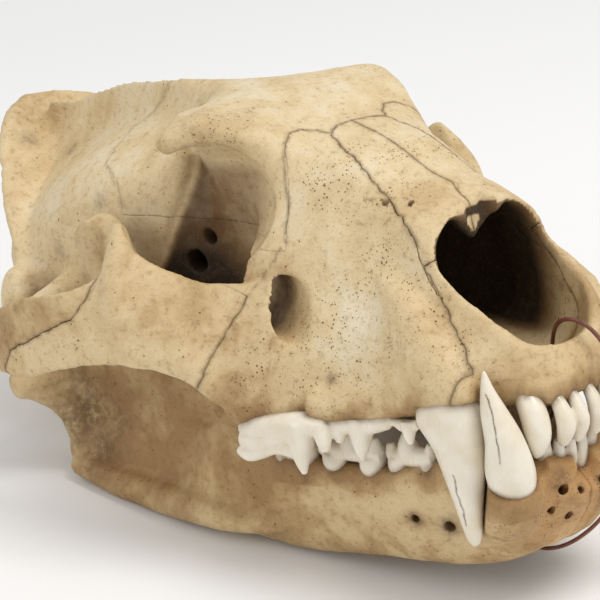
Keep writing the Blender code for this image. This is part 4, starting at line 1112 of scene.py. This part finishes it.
# %% The bone finish
class Finish:
    """A material whose nodes are added by short calls; a value may be a number or a socket."""

    def __init__(self, name):
        self.material = bpy.data.materials.new(name)
        self.material.use_nodes = True
        self.tree = self.material.node_tree
        self.shader = self.tree.nodes["Principled BSDF"]

    def give(self, socket, value):
        if isinstance(value, bpy.types.NodeSocket):
            self.tree.links.new(value, socket)
        else:
            socket.default_value = value

    def node(self, kind, inputs, **settings):
        node = self.tree.nodes.new(kind)
        for key, value in settings.items():
            setattr(node, key, value)
        for key, value in inputs.items():
            self.give(node.inputs[key], value)
        return node

    def mixed(self, factor, a, b):
        return self.node("ShaderNodeMix", {0: factor, 6: a, 7: b}, data_type="RGBA").outputs[2]

    def ranged(self, value, low, high, to_low=0.0, to_high=1.0):
        return self.node("ShaderNodeMapRange", {
            "Value": value, "From Min": low, "From Max": high, "To Min": to_low, "To Max": to_high,
        }, clamp=True).outputs["Result"]

    def maths(self, operation, a, b):
        return self.node("ShaderNodeMath", {0: a, 1: b}, operation=operation).outputs[0]

    def noise(self, vector, size, **more):
        inputs = {"Vector": vector, "Scale": 1 / (size * MM), "Detail": 3.0, **more}
        return self.node("ShaderNodeTexNoise", inputs).outputs["Fac"]

    def stretched(self, vector, scale):
        return self.node("ShaderNodeMapping", {"Vector": vector, "Scale": scale}).outputs[0]

    def wear_and_shade(self):
        node = self.node("ShaderNodeAttribute", {}, attribute_name="wear_and_shade")
        split = self.node("ShaderNodeSeparateColor", {"Color": node.outputs["Color"]})
        return (*split.outputs[:3], node.outputs["Alpha"])

    def bumped(self, height, strength, distance):
        bump = self.node("ShaderNodeBump", {"Strength": strength, "Distance": distance, "Height": height})
        self.give(self.shader.inputs["Normal"], bump.outputs["Normal"])


CREAM = (0.700, 0.550, 0.325, 1)
BUTTER = (0.560, 0.400, 0.200, 1)
BISCUIT = (0.330, 0.195, 0.078, 1)
BROWN = (0.165, 0.085, 0.032, 1)
DARK = (0.095, 0.048, 0.020, 1)
# Near black, painted shade for the deepest hollows such as the nose passage.
SHADE_BLACK = (0.012, 0.008, 0.005, 1)
PALE_BONE = (0.790, 0.690, 0.500, 1)
RUSTY = (0.560, 0.300, 0.110, 1)
CHIN_CENTRE = tuple(SEAT @ Vector((0, 8, 40)))


def bone_finish():
    f = Finish("old_bone")
    place = f.node("ShaderNodeTexCoord", {}).outputs["Object"]
    grime_and_shade, stain_and_hole_shade, pored, tone = f.wear_and_shade()
    broad = f.noise(place, 40, Detail=4.0, Roughness=0.6, Distortion=0.6)
    medium = f.noise(place, 12, Detail=4.0, Roughness=0.6)
    fine = f.noise(place, 3.0, Detail=4.0, Roughness=0.65)
    grain = f.noise(place, 0.9, Roughness=0.7)

    patchy = f.maths("ADD", broad, f.maths("MULTIPLY", medium, 0.5))
    level = f.maths("ADD", tone, f.ranged(patchy, 0.58, 0.92, 0.24, -0.24))
    colour = f.mixed(f.ranged(level, 0.0, 0.42), BISCUIT, BUTTER)
    colour = f.mixed(f.ranged(level, 0.30, 0.70), colour, CREAM)
    colour = f.mixed(f.ranged(level, 0.70, 1.10), colour, PALE_BONE)
    # Brown in enclosed places, partly grime and partly painted shade.
    grime_and_shade_brown = f.maths("MULTIPLY", f.ranged(grime_and_shade, 0.30, 0.72), f.ranged(medium, 0.25, 0.6, 0.65, 1.0))
    colour = f.mixed(grime_and_shade_brown, colour, BROWN)
    # Painted shade: the most enclosed places go near black.
    colour = f.mixed(f.ranged(grime_and_shade, 0.72, 0.95, 0, 0.97), colour, SHADE_BLACK)
    colour = f.mixed(f.ranged(fine, 0.55, 0.72, 0, 0.62), colour, f.mixed(0.55, colour, BROWN))
    from_chin = f.node("ShaderNodeVectorMath", {0: place, 1: CHIN_CENTRE}, operation="DISTANCE")
    colour = f.mixed(f.ranged(from_chin.outputs["Value"], 0.012, 0.036, 0.75, 0.0), colour, RUSTY)
    # Dark stains, and painted shade inside the chin's nerve holes.
    colour = f.mixed(f.maths("MULTIPLY", stain_and_hole_shade, f.ranged(fine, 0.30, 0.52, 0.35, 1.0)), colour, DARK)

    def pores(size, radius):
        cells = f.node("ShaderNodeTexVoronoi", {
            "Vector": place, "Scale": 1 / (size * MM), "Randomness": 1.0}, feature="F1")
        swollen = f.ranged(medium, 0.3, 0.7, radius, -radius * 0.3)
        return f.ranged(f.maths("ADD", cells.outputs["Distance"], swollen), radius, radius * 1.8, 1.0, 0.0)

    many = f.ranged(f.maths("ADD", pored, f.maths("MULTIPLY", medium, 0.35)), 0.35, 0.85)
    sparse = f.ranged(medium, 0.40, 0.58)
    pits = f.maths("MAXIMUM", f.maths("MULTIPLY", pores(1.5, 0.15), many),
                   f.maths("MULTIPLY", pores(3.6, 0.075), sparse))
    colour = f.mixed(f.maths("MULTIPLY", pits, 0.9), colour, DARK)
    fibres = f.noise(f.stretched(place, (1.0, 0.12, 1.0)), 1.6, Roughness=0.6, Distortion=0.3)
    hair = f.maths("MULTIPLY", f.ranged(fibres, 0.60, 0.72), f.ranged(broad, 0.42, 0.62))
    colour = f.mixed(f.maths("MULTIPLY", hair, 0.34), colour, BROWN)
    colour = f.mixed(f.ranged(grain, 0.50, 0.75, 0.0, 0.30), colour, BISCUIT)
    colour = f.mixed(f.ranged(grain, 0.48, 0.25, 0.0, 0.10), colour, PALE_BONE)
    f.give(f.shader.inputs["Base Color"], colour)
    f.give(f.shader.inputs["Roughness"], f.ranged(fine, 0.3, 0.7, 0.50, 0.72))
    f.shader.inputs["Specular IOR Level"].default_value = 0.32

    height = f.maths("ADD", f.maths("MULTIPLY", fine, 0.55), f.maths("MULTIPLY", grain, 0.22))
    height = f.maths("SUBTRACT", height, f.maths("MULTIPLY", pits, 0.45))
    height = f.maths("SUBTRACT", height, f.maths("MULTIPLY", hair, 0.2))
    f.bumped(height, 0.75, 0.7 * MM)
    return f.material


old_bone = bone_finish()
print("bone finish:", len(old_bone.node_tree.nodes), "nodes")

# %% [markdown]
# Enamel is harder and whiter, with a soft gloss. It yellows towards the neck, carries fine streaks
# along the crown, and a network of hairline cracks darkened by age.

# %% The tooth finish
ENAMEL_WHITE = (0.83, 0.765, 0.645, 1)
ENAMEL_WARM = (0.745, 0.66, 0.50, 1)


def tooth_finish():
    f = Finish("aged_enamel")
    place = f.node("ShaderNodeTexCoord", {}).outputs["Object"]
    _, neck, crack, _ = f.wear_and_shade()
    upright = f.stretched(place, (1.0, 1.0, 0.22))
    streaks, clouds = f.noise(upright, 3.0), f.noise(place, 9.0)
    colour = f.mixed(f.ranged(clouds, 0.35, 0.7), ENAMEL_WHITE, ENAMEL_WARM)
    colour = f.mixed(f.ranged(streaks, 0.60, 0.80, 0, 0.12), colour, (0.50, 0.38, 0.22, 1))
    lines = f.node("ShaderNodeTexVoronoi", {
        "Vector": upright, "Scale": 1 / (7.5 * MM), "Randomness": 1.0}, feature="DISTANCE_TO_EDGE")
    hair = f.maths("MULTIPLY", f.ranged(lines.outputs["Distance"], 0.0, 0.012, 1.0, 0.0),
                   f.ranged(clouds, 0.52, 0.60))
    dark = f.maths("MAXIMUM", f.maths("MULTIPLY", hair, 0.12), crack)
    colour = f.mixed(dark, colour, (0.10, 0.055, 0.025, 1))
    colour = f.mixed(f.maths("MULTIPLY", neck, f.ranged(streaks, 0.3, 0.6, 0.35, 0.7)), colour, BROWN)
    f.give(f.shader.inputs["Base Color"], colour)
    f.give(f.shader.inputs["Roughness"], f.ranged(streaks, 0.3, 0.7, 0.22, 0.38))
    f.bumped(f.maths("SUBTRACT", streaks, f.maths("MULTIPLY", dark, 0.8)), 0.4, 0.25 * MM)
    return f.material


enamel = tooth_finish()
print("tooth finish:", len(enamel.node_tree.nodes), "nodes")

# %% [markdown]
# The lower jaw is tied to the upper by a loop of plastic-coated wire. It is a curve with a round
# section, turned into a mesh.

# %% The tie wire
TIE = [
    (8, 27, 84), (8, 27, 70), (7, 30, 60), (4, 44, 50), (1, 56, 34), (1, 54, 14), (2, 42, 8), (4, 28, 11.2),
    (6, 13.6, 21), (8, 2.5, 33), (9, -4.6, 46), (10, -7, 62), (10, -6, 82), (9, -2, 96), (6, 6, 104.5),
    (4, 15, 104), (6, 22, 98),
]
curve = bpy.data.curves.new("wire_path", "CURVE")
curve.dimensions = "3D"
curve.resolution_u = 10
curve.bevel_depth = 0.8
curve.bevel_resolution = 5
spline = curve.splines.new("NURBS")
spline.points.add(len(TIE) - 1)
for point, place in zip(spline.points, TIE):
    point.co = (*place, 1.0)
spline.use_cyclic_u = True
spline.order_u = 4
drawn = bpy.data.objects.new("drawn", curve)
bpy.context.scene.collection.objects.link(drawn)
wire_mesh = bpy.data.meshes.new_from_object(drawn.evaluated_get(bpy.context.evaluated_depsgraph_get()))
bpy.data.objects.remove(drawn)
wire = bpy.data.objects.new("tie_wire", wire_mesh)
bpy.context.scene.collection.objects.link(wire)


def wire_finish():
    f = Finish("coated_wire")
    clouds = f.noise(f.node("ShaderNodeTexCoord", {}).outputs["Object"], 4.0)
    colour = f.mixed(f.ranged(clouds, 0.35, 0.65), (0.20, 0.060, 0.035, 1), (0.11, 0.035, 0.025, 1))
    f.give(f.shader.inputs["Base Color"], colour)
    f.give(f.shader.inputs["Roughness"], f.ranged(clouds, 0.3, 0.7, 0.32, 0.5))
    return f.material


coated = wire_finish()
print("wire:", len(wire.data.polygons), "faces")

# %% [markdown]
# Every piece is seated in the resting pose, takes its finish and rides on the one body of the frame.
# Each bone and each canine stands in for the plain part of the same name, and the wire for the plain
# wire.

# %% Seat and dress the pieces
def dress(obj, finish, slot_name, *stands_for):
    obj.data.transform(SEAT)
    obj.data.materials.clear()
    obj.data.materials.append(finish)
    obj.data.shade_smooth()
    obj.data.update()
    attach(obj, "root")
    if stands_for:
        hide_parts(*stands_for)


for name, bone in bones.items():
    bone.name = name + "_bone"
    dress(bone, old_bone, "bone", name)
for name, tooth in teeth.items():
    dress(tooth, enamel, "tooth_enamel", *([name] if "canine" in name else []))
dress(wire, coated, "tie_wire", "jaw_wire")
print("pieces:", len(bones) + len(teeth) + 1)

# %% [markdown]
# ## The studio
# A pale floor that fills the view, a white room, a soft lamp high on the camera's right, which
# rounds the forms and lays a faint shadow, and a weaker one on its left.

# %% Floor, light and camera
scene = bpy.context.scene
bpy.ops.mesh.primitive_plane_add(size=9.0)
floor = bpy.context.object
floor.name = "studio_floor"
floor_paint = Finish("white_floor")
for key, value in (("Base Color", (0.90, 0.90, 0.90, 1)), ("Roughness", 0.9), ("Specular IOR Level", 0.0)):
    floor_paint.shader.inputs[key].default_value = value
floor.data.materials.append(floor_paint.material)

world = bpy.data.worlds.new("white_room")
scene.world = world
world.use_nodes = True
world.node_tree.nodes["Background"].inputs["Color"].default_value = (1.0, 1.0, 1.0, 1)
world.node_tree.nodes["Background"].inputs["Strength"].default_value = 0.66


def soft_lamp(name, place, size, power, colour=(1, 1, 1)):
    light = bpy.data.lights.new(name, "AREA")
    light.shape = "DISK"
    light.size = size
    light.energy = power
    light.color = colour
    lamp = bpy.data.objects.new(name, light)
    scene.collection.objects.link(lamp)
    lamp.location = place
    lamp.rotation_euler = (Vector((0, 0, 0.08)) - Vector(place)).to_track_quat("-Z", "Y").to_euler()


soft_lamp("key_lamp", (0.35, -0.75, 1.55), 0.9, 15.0, (1.0, 0.985, 0.96))
soft_lamp("side_lamp", (-1.4, 0.1, 0.9), 1.0, 3.6)

lens = bpy.data.cameras.new("photo_camera")
lens.lens = 152.254
lens.sensor_width = 36.0
lens.clip_start = 0.01
camera = bpy.data.objects.new("photo_camera", lens)
scene.collection.objects.link(camera)
camera.location = (-0.58019, -0.76579, 0.47760)
camera.rotation_euler = tuple(math.radians(a) for a in (67.108, 2.686, -38.598))
scene.camera = camera
scene.view_settings.view_transform = "Standard"
scene.view_settings.look = "None"
scene.view_settings.exposure = 0.0
